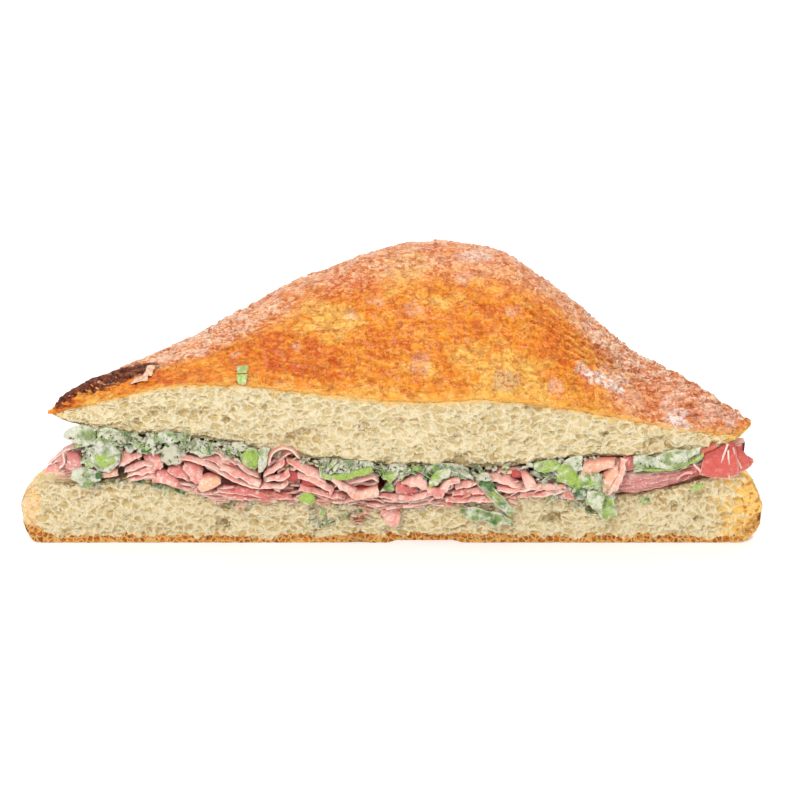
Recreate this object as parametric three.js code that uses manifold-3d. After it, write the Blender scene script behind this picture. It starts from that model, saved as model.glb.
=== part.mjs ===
// Half of a crusty loaf sandwich, cut from corner to corner and laid on its flat base.
// Millimetres. X runs along the cut face, +Y from the cut face to the loaf's own corner, +Z up.
// Everything inside is described on the cut face and carried back between the two breads.
import * as THREE from "three";
import Module from "manifold-3d";
import { mergeVertices } from "three/addons/utils/BufferGeometryUtils.js";

const wasm = await Module();
wasm.setup();

// Driving dimensions
const BASE_HALF_LENGTH = 110;
const BASE_DEPTH = 105;
const LID_LEFT = -99;
const LID_RIGHT = 105;
const LID_DEPTH = 102;
const CORNER_X = 15; // where the loaf's own corner stands, along the cut face
const FILLING_INSET = 5; // how far the filling stays inside the crust
const HAM_THICKNESS = 1.1;
const LEAF_THICKNESS = 0.7;
const DEPTH_SHARES = [0, 0.5, 1]; // where the filling's sections stand, front to back

// Heights on the cut face, each a smooth line through [x, z] points
const CUT_LINES = {
  crustEdge: [[-99, 45.2], [-84, 49.2], [-66, 53.8], [-48, 54.9], [-26, 52.5], [2, 49.2],
    [32, 49.5], [60, 44.8], [92, 38.6], [101, 38.2], [105, 41.8]],
  lidUnder: [[-99, 44.4], [-92, 41.1], [-79, 38.4], [-55, 36], [-40, 32.2], [-18, 28.4],
    [2, 26.7], [32, 26.3], [55, 29.8], [81, 30.2], [92, 32.4], [101, 36.2], [105, 41]],
  bed: [[-110, 17], [-103, 20.5], [-94, 20.1], [-78, 22.2], [-67, 20], [-52, 15.5], [-30, 15.1], [2, 12.6],
    [25, 14.4], [44, 17], [60, 15.8], [74, 16.6], [86, 19.8], [97, 23], [104, 23.4], [110, 16]],
  crest: [[-99, 46.8], [-78, 49], [-58, 52.6], [-37, 60], [-17, 65.3], [4, 67.6], [24, 68.1],
    [35, 67.1], [45, 63.2], [55, 57.6], [65, 51.2], [76, 46], [86, 44.6], [96, 42.6], [105, 42.2]],
  hamTop: [[-90, 25.5], [-84, 26.5], [-80.5, 31.6], [-77, 32.7], [-73.5, 32.4], [-69.5, 33.4], [-66, 31.6],
    [-63, 30], [-60, 31], [-57, 31.6], [-53.5, 33.4], [-48, 31.4], [-43, 28.6], [-38, 26], [-24, 26.6],
    [-20, 24.2], [-15, 23.4], [-8, 25.2], [-4, 24.8], [0, 23.2], [4.5, 24.4], [8, 23.6], [13, 22.6],
    [17, 23.2], [22, 24.2], [26, 22.4], [42, 22.2], [47, 22.8], [53, 22.4], [60, 22]],
};

// A smooth line through points, flat beyond its ends.
function lineThrough(points) {
  const slope = points.map((p, i) => {
    const before = points[Math.max(0, i - 1)];
    const after = points[Math.min(points.length - 1, i + 1)];
    return (after[1] - before[1]) / (after[0] - before[0]);
  });
  return (x) => {
    const last = points.length - 1;
    if (x <= points[0][0]) return points[0][1];
    if (x >= points[last][0]) return points[last][1];
    const i = points.findIndex((p) => p[0] > x) - 1;
    const span = points[i + 1][0] - points[i][0];
    const t = (x - points[i][0]) / span;
    const rise = points[i + 1][1] - points[i][1];
    const bend = t * (1 - t);
    const ease = t * t * (3 - 2 * t);
    return points[i][1] + rise * ease + bend * span * (slope[i] * (1 - t) - slope[i + 1] * t);
  };
}
const cut = {};
for (const [name, points] of Object.entries(CUT_LINES)) cut[name] = lineThrough(points);

const mix = (a, b, t) => a + (b - a) * t;
const clamp01 = (t) => Math.min(1, Math.max(0, t));
const smooth = (t) => clamp01(t) ** 2 * (3 - 2 * clamp01(t));

// A seeded random number from 0 to 1.
function randomFrom(seed) {
  let state = seed;
  return () => {
    state = (state * 1664525 + 1013904223) % 4294967296;
    return state / 4294967296;
  };
}

// Smooth noise from -1 to 1 over a lattice of seeded values.
function noise(x, y, z = 0) {
  const value = (i, j, k) => {
    const h = Math.sin(i * 127.1 + j * 311.7 + k * 74.7) * 43758.5453;
    return 2 * (h - Math.floor(h)) - 1;
  };
  const [i, j, k] = [x, y, z].map(Math.floor);
  const [u, v, w] = [smooth(x - i), smooth(y - j), smooth(z - k)];
  const edge = (dj, dk) => mix(value(i, j + dj, k + dk), value(i + 1, j + dj, k + dk), u);
  return mix(mix(edge(0, 0), edge(1, 0), v), mix(edge(0, 1), edge(1, 1), v), w);
}

// How deep the loaf is behind the cut face at x, for a piece between two ends.
function depthAt(x, left, right, depth) {
  const share = x < CORNER_X ? (x - left) / (CORNER_X - left) : (right - x) / (right - CORNER_X);
  return depth * (1 - (1 - clamp01(share)) ** 1.35) ** 0.85;
}
const baseDepthAt = (x) => depthAt(x, -BASE_HALF_LENGTH, BASE_HALF_LENGTH, BASE_DEPTH);
const lidDepthAt = (x) => depthAt(x, LID_LEFT, LID_RIGHT, LID_DEPTH);

// How far x stands between the loaf's end (0) and its own corner (1), eased.
function inwards(x) {
  const end = x < CORNER_X ? -BASE_HALF_LENGTH : BASE_HALF_LENGTH;
  return Math.sin((Math.PI / 2) * clamp01((x - end) / (CORNER_X - end)));
}

// The rim is where the lid's crust meets its cut underside, along the back.
const lidRim = (x) => mix(x < CORNER_X ? 44 : 41, 33, inwards(x));
const baseRim = (x) => mix(18, 17, inwards(x));

// The two cut surfaces that hold the filling, at any place behind the cut face.
const PAST_CRUST = 6;
const bedAt = (x, y) => mix(cut.bed(x), baseRim(x), y / (baseDepthAt(x) + PAST_CRUST));
function lidUnderAt(x, y) {
  const front = cut.lidUnder(x);
  return mix(front, Math.max(lidRim(x), front), y / (lidDepthAt(x) + PAST_CRUST));
}

// How far back the filling reaches at x, inside the crust, with an uneven edge.
const fillingDepthAt = (x) => Math.max(3, lidDepthAt(x) - FILLING_INSET + 1.5 * noise(x / 7, 3));

// Carries a point of the cut face (x, z) back by a share of the filling's depth; out pushes it forwards.
function carried(x, z, share, out = 0) {
  const y = share * fillingDepthAt(x) - out;
  const height = (z - cut.bed(x)) / (cut.lidUnder(x) - cut.bed(x));
  return new THREE.Vector3(x, y, mix(bedAt(x, y), lidUnderAt(x, y), height));
}

// A closed solid through sections, each a loop of the same number of points, outwards on the right hand.
// Its ends are closed by fans, or by straight bars where the loop is a strip folded back on itself.
function loft(sections, isStrip = false) {
  const count = sections[0].length;
  const positions = sections.flat().flatMap((p) => [p.x, p.y, p.z]);
  const faces = [];
  for (let s = 0; s + 1 < sections.length; s++) {
    for (let i = 0; i < count; i++) {
      const a = s * count + i;
      const b = s * count + ((i + 1) % count);
      faces.push(a, b, a + count, b, b + count, a + count);
    }
  }
  const last = (sections.length - 1) * count;
  for (let i = 0; isStrip && i + 1 < count / 2; i++) {
    const mate = count - 1 - i;
    faces.push(i, mate, i + 1, i + 1, mate, mate - 1);
    faces.push(last + i, last + i + 1, last + mate, last + i + 1, last + mate - 1, last + mate);
  }
  for (const [start, section] of isStrip ? [] : [[0, sections[0]], [last, sections.at(-1)]]) {
    const centre = section.reduce((sum, p) => sum.add(p), new THREE.Vector3()).divideScalar(count);
    const middle = positions.length / 3;
    positions.push(centre.x, centre.y, centre.z);
    for (let i = 0; i < count; i++) {
      const [a, b] = [start + i, start + ((i + 1) % count)];
      faces.push(...(start > 0 ? [a, b, middle] : [b, a, middle]));
    }
  }
  return geometryOf(positions, faces);
}

function geometryOf(positions, faces) {
  const geometry = new THREE.BufferGeometry();
  geometry.setAttribute("position", new THREE.Float32BufferAttribute(positions, 3));
  geometry.setIndex(faces);
  return geometry;
}

// A geometry as a solid that can be cut and joined, and a solid back as a geometry.
function solidOf(geometry) {
  const bare = geometry.clone();
  bare.deleteAttribute("normal");
  bare.deleteAttribute("uv");
  const merged = mergeVertices(bare, 1e-4);
  const made = new wasm.Manifold(
    new wasm.Mesh({
      numProp: 3,
      vertProperties: new Float32Array(merged.attributes.position.array),
      triVerts: new Uint32Array(merged.index.array),
    }),
  );
  if (made.volume() > 0) return made;
  const turned = merged.index.array.slice();
  for (let i = 0; i < turned.length; i += 3) turned.subarray(i + 1, i + 3).reverse();
  return solidOf(geometryOf(Array.from(merged.attributes.position.array), Array.from(turned)));
}

function geometryFrom(solid) {
  const largest = solid.decompose().reduce((best, body) => (body.volume() > best.volume() ? body : best));
  const mesh = largest.getMesh();
  return geometryOf(Array.from(mesh.vertProperties), Array.from(mesh.triVerts));
}

// Stations along x, closer together near both ends.
function stations(left, right, count) {
  return Array.from({ length: count }, (_, i) => {
    const t = i / (count - 1);
    return mix(left, right, mix(t, (1 - Math.cos(Math.PI * t)) / 2, 0.55));
  });
}

// The crumb of a cut face is uneven: how far it stands back at a place.
const crumbRelief = (x, z) => 0.55 * noise(x / 4.1, z / 3.3, 2) + 0.35 * noise(x / 1.9, z / 1.7, 9);

// The lower bread: flat crust below, a rounded crust round the back, and a sagging cut top.
function baseBread() {
  const END_ROUND = 9;
  const BELLY = 2.6;
  const BOTTOM_ROUND = 5;
  const FACE_ROWS = 6;
  const TOP_ROWS = 7;
  const SECTIONS = 42;
  const TIP = 0.3;
  const sections = stations(TIP - BASE_HALF_LENGTH, BASE_HALF_LENGTH - TIP, SECTIONS).map((x) => {
    const fromEnd = clamp01((BASE_HALF_LENGTH - Math.abs(x)) / END_ROUND);
    const swell = Math.sqrt(1 - (1 - fromEnd) ** 2);
    const front = (1 - swell) * 3;
    const back = Math.max(baseDepthAt(x), front + 1.2);
    const middle = cut.bed(x) * 0.55;
    const low = mix(middle - 0.6, 0, swell);
    const heightAt = (y) => mix(middle + 0.6, bedAt(x, y), swell);
    const loop = [];
    for (let i = 0; i < FACE_ROWS; i++) {
      const z = mix(low, heightAt(front), i / (FACE_ROWS - 1));
      const relief = i === 0 ? 0 : crumbRelief(x, z) * swell;
      loop.push(new THREE.Vector3(x, front + relief, z));
    }
    for (let i = 1; i <= TOP_ROWS; i++) {
      const y = mix(front, back, i / TOP_ROWS);
      const grain = 0.4 * noise(x / 6, y / 6) * swell;
      loop.push(new THREE.Vector3(x, y, heightAt(y) + grain * Math.sign(TOP_ROWS - i)));
    }
    const rimHeight = heightAt(back);
    for (const [share, out] of [[0.82, 0.7], [0.58, 1], [0.33, 0.75], [0.12, 0.15]]) {
      const lump = 0.6 * noise(x / 13, share * 3, 5);
      loop.push(new THREE.Vector3(x, back + (BELLY * out + lump) * swell, mix(low, rimHeight, share)));
    }
    for (const share of [1, 0.66, 0.33]) {
      const y = mix(front, Math.max(back - BOTTOM_ROUND * swell, front + 0.8), share);
      loop.push(new THREE.Vector3(x, y, low));
    }
    return loop;
  });
  return loft(sections);
}

// The upper bread: a boat-shaped cut face, a domed blistered crust and a cut underside.
function lidBread() {
  const CREST_SHARE = 0.55;
  const FACE_ROWS = 7;
  const DOME_ROWS = 13;
  const UNDER_ROWS = 6;
  const SECTIONS = 44;
  const TIP = 0.4;
  const sections = stations(LID_LEFT + TIP, LID_RIGHT - TIP, SECTIONS).map((x) => {
    const back = Math.max(lidDepthAt(x), 1.4);
    const under = cut.lidUnder(x);
    const edge = Math.max(cut.crustEdge(x), under + 0.8);
    const crest = Math.max(cut.crest(x), edge - 4);
    const rim = Math.max(lidRim(x), under + 0.4);
    const domeAt = (share) => {
      if (share < CREST_SHARE) return mix(edge, crest, Math.sin((Math.PI / 2) * (share / CREST_SHARE)));
      const fall = (share - CREST_SHARE) / (1 - CREST_SHARE);
      return mix(rim, Math.max(crest, rim + 0.6), (1 - fall ** 2.2) ** (1 / 1.7));
    };
    const loop = [];
    for (let i = 0; i < FACE_ROWS; i++) {
      const z = mix(under, edge, i / (FACE_ROWS - 1));
      loop.push(new THREE.Vector3(x, crumbRelief(x, z) * clamp01(back / 12), z));
    }
    for (let i = 1; i < DOME_ROWS; i++) {
      const share = 1 - Math.cos((Math.PI / 2) * (i / DOME_ROWS)) ** 1.15;
      const y = back * share;
      const swell = clamp01(back / 20) * Math.sin(Math.PI * share);
      const lump = (0.9 * noise(x / 16, y / 16, 3) + 0.35 * noise(x / 5, y / 5, 4)) * swell;
      loop.push(new THREE.Vector3(x, y, domeAt(share) + lump));
    }
    loop.push(new THREE.Vector3(x, back, rim));
    for (let i = UNDER_ROWS - 1; i > 0; i--) {
      const y = back * (i / UNDER_ROWS);
      const grain = 0.4 * noise(x / 6, y / 6, 7) * clamp01(back / 30);
      loop.push(new THREE.Vector3(x, y, lidUnderAt(x, y) + Math.max(0, grain)));
    }
    return loop;
  });
  return loft(sections);
}

// Bubbles that the knife opened: the named ones are [x, z, half width, half height], the rest go by rule.
function withPores(bread, lowAt, highAt, named, count, seed) {
  const random = randomFrom(seed);
  const pores = [...named];
  for (let i = 0; i < count; i++) {
    const x = mix(-84, 88, (i + 0.2 + 0.6 * random()) / count);
    const z = mix(lowAt(x) + 3.2, highAt(x) - 3.2, random());
    if (highAt(x) - lowAt(x) > 8) pores.push([x, z, mix(1.1, 2, random()), mix(0.8, 1.3, random())]);
  }
  let solid = solidOf(bread);
  for (const [x, z, wide, tall] of pores) {
    const bubble = new THREE.IcosahedronGeometry(1, 1);
    bubble.scale(wide, 2.2, tall);
    bubble.rotateY(0.5 * (random() - 0.5));
    bubble.translate(x, -0.4, z);
    solid = solid.subtract(solidOf(bubble));
  }
  return geometryFrom(solid);
}

// A smooth path through points [x, z] on the cut face, in steps of about one length.
function smoothPath(points, step) {
  const knots = points.map(([x, z]) => new THREE.Vector3(x, 0, z));
  const curve = new THREE.CatmullRomCurve3(knots, false, "centripetal");
  const count = Math.round(curve.getLength() / step);
  return curve.getSpacedPoints(count).map((p) => [p.x, p.z]);
}

// A slice lying at full length, in slow waves.
function longPath(left, right, lift, wave) {
  const STEPS = Math.round((right - left) / 5);
  return Array.from({ length: STEPS + 1 }, (_, i) => {
    const x = mix(left, right, i / STEPS);
    return [x, cut.bed(x) + lift + wave * Math.sin(x / 4.3 + lift)];
  });
}

// A ribbon of even thickness along a path on the cut face, carried back through the sandwich.
function ribbon(path, thickness, seed) {
  const normals = path.map((p, i) => {
    const before = path[Math.max(0, i - 1)];
    const after = path[Math.min(path.length - 1, i + 1)];
    return new THREE.Vector2(-(after[1] - before[1]), after[0] - before[0]).normalize();
  });
  const edge = (sign, share) =>
    path.map(([x, z], i) => {
      const [nx, nz] = [normals[i].x, normals[i].y];
      const fray = share === 0 ? 0.9 + 0.8 * noise(i / 1.7, seed) : 0;
      return carried(x + (nx * sign * thickness) / 2, z + (nz * sign * thickness) / 2, share, fray);
    });
  const strips = DEPTH_SHARES.map((share) => [...edge(1, share), ...edge(-1, share).reverse()]);
  return loft(strips, true);
}

// A solid between two lines on the cut face, carried back; bulge pushes its front out.
function bandBetween(lowAt, highAt, left, right, count, bulge) {
  const sections = Array.from({ length: count }, (_, s) => {
    const x = mix(left, right, s / (count - 1));
    const at = (height, share, out = 0) => carried(x, mix(lowAt(x), highAt(x), height), share, out);
    const bulgeAt = (height) => bulge * 4 * height * (1 - height) + 0.6 * noise(x / 3, 3 * height, 6);
    const wavy = (height) => at(height, 0, bulgeAt(height));
    return [
      ...[1, 0.5, 0].map(wavy),
      ...DEPTH_SHARES.slice(1).map((share) => at(0, share)),
      ...DEPTH_SHARES.slice(1).reverse().map((share) => at(1, share)),
    ];
  });
  return loft(sections);
}

// A leaf: a thin wavy sheet, its two faces split into triangles alike.
function leafSheet(surface, thickness, across, along) {
  const STEP = 0.01;
  const faces = [];
  const positions = [];
  for (const sign of [1, -1]) {
    for (let j = 0; j <= along; j++) {
      for (let i = 0; i <= across; i++) {
        const [u, v] = [i / across, j / along];
        const du = surface(u + STEP, v).sub(surface(u - STEP, v));
        const dv = surface(u, v + STEP).sub(surface(u, v - STEP));
        const normal = du.cross(dv).normalize().multiplyScalar((sign * thickness) / 2);
        const point = surface(u, v).add(normal);
        positions.push(point.x, point.y, point.z);
      }
    }
  }
  const row = across + 1;
  const other = row * (along + 1);
  for (let j = 0; j < along; j++) {
    for (let i = 0; i < across; i++) {
      const a = j * row + i;
      const quad = [a, a + 1, a + row + 1, a, a + row + 1, a + row];
      faces.push(...quad);
      for (let k = 0; k < 6; k += 3) faces.push(quad[k] + other, quad[k + 2] + other, quad[k + 1] + other);
    }
  }
  const rim = [];
  for (let i = 0; i < across; i++) rim.push(i);
  for (let j = 0; j < along; j++) rim.push(j * row + across);
  for (let i = across; i > 0; i--) rim.push(along * row + i);
  for (let j = along; j > 0; j--) rim.push(j * row);
  rim.forEach((a, i) => {
    const b = rim[(i + 1) % rim.length];
    faces.push(a, a + other, b, b, a + other, b + other);
  });
  return geometryOf(positions, faces);
}

// A shred of leaf lying on the cut face: turn is its slope there, tilt lets one side stand out.
function shred(centre, length, width, turn, tilt) {
  const RUFFLE = 0.5;
  const place = new THREE.Matrix4().makeTranslation(centre);
  place.multiply(new THREE.Matrix4().makeRotationY(turn)).multiply(new THREE.Matrix4().makeRotationX(tilt));
  return leafSheet(
    (u, v) => {
      const along = (v - 0.5) * length;
      const across = (u - 0.5) * width * (1 - 0.5 * (2 * v - 1) ** 2);
      const out = RUFFLE * (Math.sin(v * 7 + turn * 3) * (2 * u - 1) + 0.6 * Math.cos(v * 4));
      return new THREE.Vector3(along, out - 0.4, across).applyMatrix4(place);
    },
    LEAF_THICKNESS,
    2,
    5,
  );
}

// The folded slices, each a path of [x, z] points on the cut face from one end of the slice to the other.
const FOLDED_SLICES = {
  ham_fold_1: [[-80.4, 27], [-79.6, 30.2], [-77.1, 31.9], [-74.9, 30.9], [-74.4, 28.4], [-76.9, 27.4],
    [-78.2, 25.6], [-75.3, 24.9], [-73.1, 26], [-72.3, 29.5], [-70.6, 32.5], [-68.6, 32.3], [-67.6, 29.8],
    [-68.2, 25.6], [-70.1, 23.4], [-74, 23], [-77.8, 23.5]],
  ham_fold_2: [[-65.9, 24.6], [-64.4, 27], [-62.1, 29.4], [-59.6, 30.3], [-57.8, 29.3], [-57.3, 27.2],
    [-59, 25.7], [-60.9, 24.4], [-60.4, 22.6], [-58.2, 22.3], [-57, 23.6]],
  ham_fold_3: [[-53.6, 32.7], [-51.4, 32], [-47.6, 30.2], [-43.9, 27.4], [-41.2, 25], [-39.4, 22.8],
    [-41.2, 21.9], [-44.9, 23.9], [-48.3, 26.3], [-52.2, 28.4], [-54.5, 28.6], [-54.4, 26.7],
    [-50.8, 24.6], [-46.2, 21.8], [-42.1, 20.1], [-39.4, 19.5]],
  ham_fold_4: [[-37.9, 20.8], [-36.9, 24.3], [-36, 27.4], [-34.2, 29.3], [-31.9, 29.5], [-29.7, 28.9],
    [-28.4, 27.4], [-29.6, 26.1], [-31.8, 26.4], [-33.3, 25.2], [-32.2, 23.7], [-29.5, 24.2], [-27.7, 23],
    [-28.3, 21.4], [-31.1, 21.8], [-33.4, 20.9], [-32.4, 19.3], [-29.1, 19.3]],
  ham_fold_5: [[-25.6, 27.2], [-23.3, 25.4], [-20.1, 23], [-21.5, 21.6], [-24.8, 21.9], [-25.9, 20.3],
    [-23.4, 18.9], [-19.6, 18.8], [-17.2, 20], [-15.1, 22.2], [-11.8, 23.6], [-7.6, 24.2], [-4.9, 23.5],
    [-4.2, 21.7], [-6.4, 20.6], [-10, 21.1], [-12.4, 19.7], [-11.4, 18], [-7.4, 17.7], [-4.1, 18.3]],
  ham_fold_6: [[-2.1, 17.3], [-0.2, 18.6], [0.9, 21.1], [3, 23.2], [6, 23.3], [7.2, 21.5], [5.4, 20],
    [3, 19.3], [3.6, 17.5], [6.6, 17.4], [8.7, 18.8], [9.3, 21.3]],
  ham_fold_7: [[11.3, 17.5], [11.6, 19.5], [13.7, 21.4], [16.7, 22], [17.9, 20.7], [16.1, 19.5],
    [16.7, 18], [20, 18.3], [22.9, 19.3], [24.8, 20.7], [24, 22.3], [21.3, 23]],
  ham_fold_8: [[28.4, 19.7], [28.4, 22], [30.7, 24], [34.3, 24.9], [37.8, 25.1], [40.1, 23.8], [40.5, 21.6],
    [38.6, 20.5], [35.9, 21.4], [33.2, 22], [31.3, 20.7], [32.1, 18.8], [36, 18.7], [40, 19.2]],
  ham_fold_9: [[43.4, 21.2], [46.6, 21.8], [50.4, 21.6], [53.3, 20.8], [53.6, 19.3], [50.9, 19.1],
    [46.7, 19.5], [43.4, 19.5]],
  ham_hanging: [[57.4, 25.6], [57.8, 27.6], [60.1, 28.6], [63.6, 28.6], [66.3, 28.1], [68.2, 26.8],
    [68.7, 24.3], [68.1, 21], [66.3, 17.9]],
};

function hamSlices() {
  const PATH_STEP = 1.5;
  const slices = {
    ham_long_1: ribbon(longPath(-66, 55, 0.95, 0.05), HAM_THICKNESS, 1),
    ham_long_2: ribbon(longPath(-64.5, 26.5, 2.5, 0.05), HAM_THICKNESS, 2),
    ham_broad: bandBetween(broadLow, broadHigh, 70, 103.5, 14, 1.6),
    ham_left: bandBetween(leftLow, leftHigh, -99.5, -91, 6, 1.2),
  };
  Object.entries(FOLDED_SLICES).forEach(([name, points], i) => {
    slices[name] = ribbon(smoothPath(points, PATH_STEP), HAM_THICKNESS, 3 + i);
  });
  return slices;
}

// The broad slice at the right end and the small one at the left end, between two lines each.
const broadLow = lineThrough([[69, 17.2], [76, 18.4], [86, 21.3], [96, 24.8], [104, 26]]);
const broadHigh = lineThrough([[69, 24.2], [76, 24.4], [85, 25.6], [92, 28.9], [97, 32.6], [104, 34.8]]);
const leftLow = lineThrough([[-100, 26], [-96, 23.5], [-91, 22.6]]);
const leftHigh = lineThrough([[-100, 28], [-96, 32], [-91, 32.6]]);

// Chopped salad between the ham and the lid, with shreds of leaf standing out of its cut face.
function heap({ left, right, stations: count, shreds, seed }) {
  const low = (x) => mix(cut.bed(x) + 0.6, cut.hamTop(x) + 0.6, smooth((x + 84) / 2.5));
  const high = (x) => Math.max(cut.lidUnder(x) - 0.45, low(x) + 0.5);
  let solid = solidOf(bandBetween(low, high, left, right, count, 1.2));
  const random = randomFrom(seed);
  for (let i = 0; i < shreds; i++) {
    const x = mix(left + 3, right - 3, (i + 0.6 * random()) / shreds);
    const room = high(x) - low(x);
    const middle = carried(x, mix(low(x), high(x), 0.5), 0, 0.3);
    const turn = (room > 5 ? 1.1 : 0.15) * (random() - 0.5);
    const tilt = 0.5 * (random() - 0.5);
    const leaf = shred(middle, mix(4.5, 7.5, random()), Math.min(4, room * 0.6), turn, tilt);
    solid = solid.add(solidOf(leaf));
  }
  return geometryFrom(solid);
}

const LOOSE_LEAVES = {
  leaf_strip: { from: [25, 23.4, -2.2], to: [37, 12.2, -2.9], width: 3.4, ruffle: 0.3 },
  leaf_frilled: { from: [56.2, 27.5, -1.2], to: [65.5, 10.5, -3.4], width: 7, ruffle: 1.1 },
  leaf_low: { from: [20.5, 12.2, -2.2], to: [36, 8, -2.6], width: 4.2, ruffle: 0.9 },
};

// A leaf hung in front of the cut face between two points [x, z, y].
function looseLeaf({ from, to, width, ruffle }) {
  const start = new THREE.Vector3(from[0], from[2], from[1]);
  const end = new THREE.Vector3(to[0], to[2], to[1]);
  const along = end.clone().sub(start);
  const across = new THREE.Vector3(0, 1, 0).cross(along).normalize();
  return leafSheet(
    (u, v) => {
      const half = (width / 2) * (0.35 + 0.65 * Math.sin(Math.PI * clamp01(0.08 + 0.84 * v)));
      const wave = ruffle * Math.sin(v * 11 + 1) * (2 * u - 1) - 0.5 * ruffle * Math.sin(v * 3);
      return start.clone().addScaledVector(along, v).addScaledVector(across, (2 * u - 1) * half)
        .add(new THREE.Vector3(0, wave, 0));
    },
    LEAF_THICKNESS,
    4,
    9,
  );
}

// The pale rib of a lettuce leaf over the broad slice.
function lettuceRib() {
  const low = (x) => broadHigh(x) + 0.6;
  const high = (x) => Math.min(cut.lidUnder(x) - 0.5, broadHigh(x) + 5.6);
  return bandBetween(low, (x) => Math.max(high(x), low(x) + 0.7), 70.5, 93, 9, 1.1);
}

const colours = {
  bread: { color: "#e3cf9a", roughness: 0.85, metalness: 0 },
  crust: { color: "#c98339", roughness: 0.6, metalness: 0 },
  ham: { color: "#d9928b", roughness: 0.45, metalness: 0 },
  greens: { color: "#8fae62", roughness: 0.5, metalness: 0 },
  rib: { color: "#cfdcb8", roughness: 0.4, metalness: 0 },
};
const finish = (name) => new THREE.MeshStandardMaterial(colours[name]);

const group = new THREE.Group();
function place(name, geometry, material) {
  const mesh = new THREE.Mesh(geometry, finish(material));
  mesh.name = name;
  group.add(mesh);
}

const LID_BUBBLES = [[-68, 45.6, 3, 1.6], [-58.8, 45, 2.8, 1.5],
  [18.5, 36, 1.5, 1.2], [35.8, 34.8, 1.5, 1.2]];
const BASE_BUBBLES = [[-33, 6.5, 2.6, 1.4]];
place("bread_lid", withPores(lidBread(), cut.lidUnder, cut.crustEdge, LID_BUBBLES, 11, 7), "crust");
place("bread_base", withPores(baseBread(), () => 0, cut.bed, BASE_BUBBLES, 8, 19), "bread");
for (const [name, geometry] of Object.entries(hamSlices())) place(name, geometry, "ham");
place("salad_left", heap({ left: -89.5, right: -41, stations: 24, shreds: 10, seed: 41 }), "greens");
place("lettuce_mid", heap({ left: -22.5, right: 27, stations: 17, shreds: 5, seed: 5 }), "greens");
place("lettuce_right", heap({ left: 42, right: 53, stations: 6, shreds: 3, seed: 8 }), "greens");
place("lettuce_rib", lettuceRib(), "rib");
for (const [name, leaf] of Object.entries(LOOSE_LEAVES)) place(name, looseLeaf(leaf), "greens");

// The origin is under the middle of the whole, on the surface it lies on.
const bounds = new THREE.Box3().setFromObject(group);
const middle = bounds.getCenter(new THREE.Vector3());
group.position.set(-middle.x, -middle.y, -bounds.min.z);

export default group;
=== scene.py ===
"""Dresses the half of a crusty loaf sandwich: bread with real pores and a flaking crust, folded ham, salad,
lettuce and dressing. Shapes are in millimetres, with y = 0 on the cut face and z = 0 on the table."""

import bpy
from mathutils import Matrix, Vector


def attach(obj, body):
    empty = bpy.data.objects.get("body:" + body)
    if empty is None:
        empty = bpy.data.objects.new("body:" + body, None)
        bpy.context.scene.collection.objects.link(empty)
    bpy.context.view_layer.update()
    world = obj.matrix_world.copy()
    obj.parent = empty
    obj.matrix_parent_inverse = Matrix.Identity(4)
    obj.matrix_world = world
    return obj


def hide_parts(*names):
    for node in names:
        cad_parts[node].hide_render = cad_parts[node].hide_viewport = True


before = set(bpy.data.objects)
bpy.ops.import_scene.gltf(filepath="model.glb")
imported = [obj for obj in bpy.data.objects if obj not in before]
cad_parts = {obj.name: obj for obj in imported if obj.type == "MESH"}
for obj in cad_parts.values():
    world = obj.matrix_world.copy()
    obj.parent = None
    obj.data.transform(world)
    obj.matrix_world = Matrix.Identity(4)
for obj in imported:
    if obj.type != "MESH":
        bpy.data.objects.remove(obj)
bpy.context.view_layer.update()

import math

import bpy
import numpy as np

bl_info = {
    "name": "Crusty loaf sandwich",
    "version": (1, 0, 0),
    "blender": (4, 5, 0),
    "location": "3D Viewport > Sidebar > Sandwich",
    "description": "Bread, crust, ham, salad, lettuce and dressing of a sandwich cut from corner to corner",
    "category": "Object",
}

MM = 0.001
CUT_PLANE = -50.9257  # where the cut face stands in the frame
BASE_HALF_LENGTH, BASE_DEPTH = 110.0, 105.0
LID_LEFT, LID_RIGHT, LID_DEPTH = -99.0, 105.0, 102.0
LID_TIP = -102.0  # how far the thin crust runs on past the lid's left end
END_REACH = 1.5  # how far the base's rounded ends stand past its solid
CORNER_X = 15.0  # where the loaf's corner lies behind the cut face
CORNER_BEND, END_BEND = 1.35, 0.85  # how round the loaf's outline is at its corner and near its ends
FILLING_INSET = 5.0  # how far the filling ends before the lid's back edge
PAST_CRUST = 6.0  # how far behind the crust the two breads would reach their back heights
LEAST_DEPTH = 1.4  # of the lid at its ends
RIM_LEFT, RIM_RIGHT, RIM_CORNER = 44.0, 41.0, 33.0  # height of the lid's back rim
BED_BACK, BED_CORNER = 18.0, 17.0  # height of the base's top at the back
CREST_SHARE, FALL_SHARE = 0.55, 0.45  # the lid's rise and fall from front to back, as shares of its depth
CROWDING = 0.35  # how much closer a bread's sections stand near its ends
DEEPEST_PORE = 2.4
SQUEEZED_FROM, SQUEEZE = -97.0, 0.55  # the scorched tip is drawn in left of this place
LOOSE_HAM_THICKNESS, FAT_THICKNESS = 0.62, 0.3
SHADE_SHEET_AT, SHADE_SHEET_SET_BACK = 0.97, 1.3  # a sheet of ham as red as this is painted shade in a deep hollow, set back by the second value
FAT_AT = -0.5  # and one below this is a strand of fat
RED_HAM_LEFT = 84.0  # the ham is red right of this place, and its loose ends are less torn
HONEY_CRUMB, HONEY_RIND = (93.0, 104.0), (60.0, 95.0)  # where crumb and rind turn honey-coloured
LEAF_THICKNESS, LEAF_CUP = 0.4, 0.6
COATED_AT = 0.45  # leaves with this much dressing carry pepper
BROWN_PEPPER = (0.08, 0.05, 0.03)
WHITE = (1.0, 1.0, 1.0, 1.0)
FLOOR_GAP = 0.1
CAMERA_LENS, CAMERA_SENSOR = 85, 36
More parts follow.
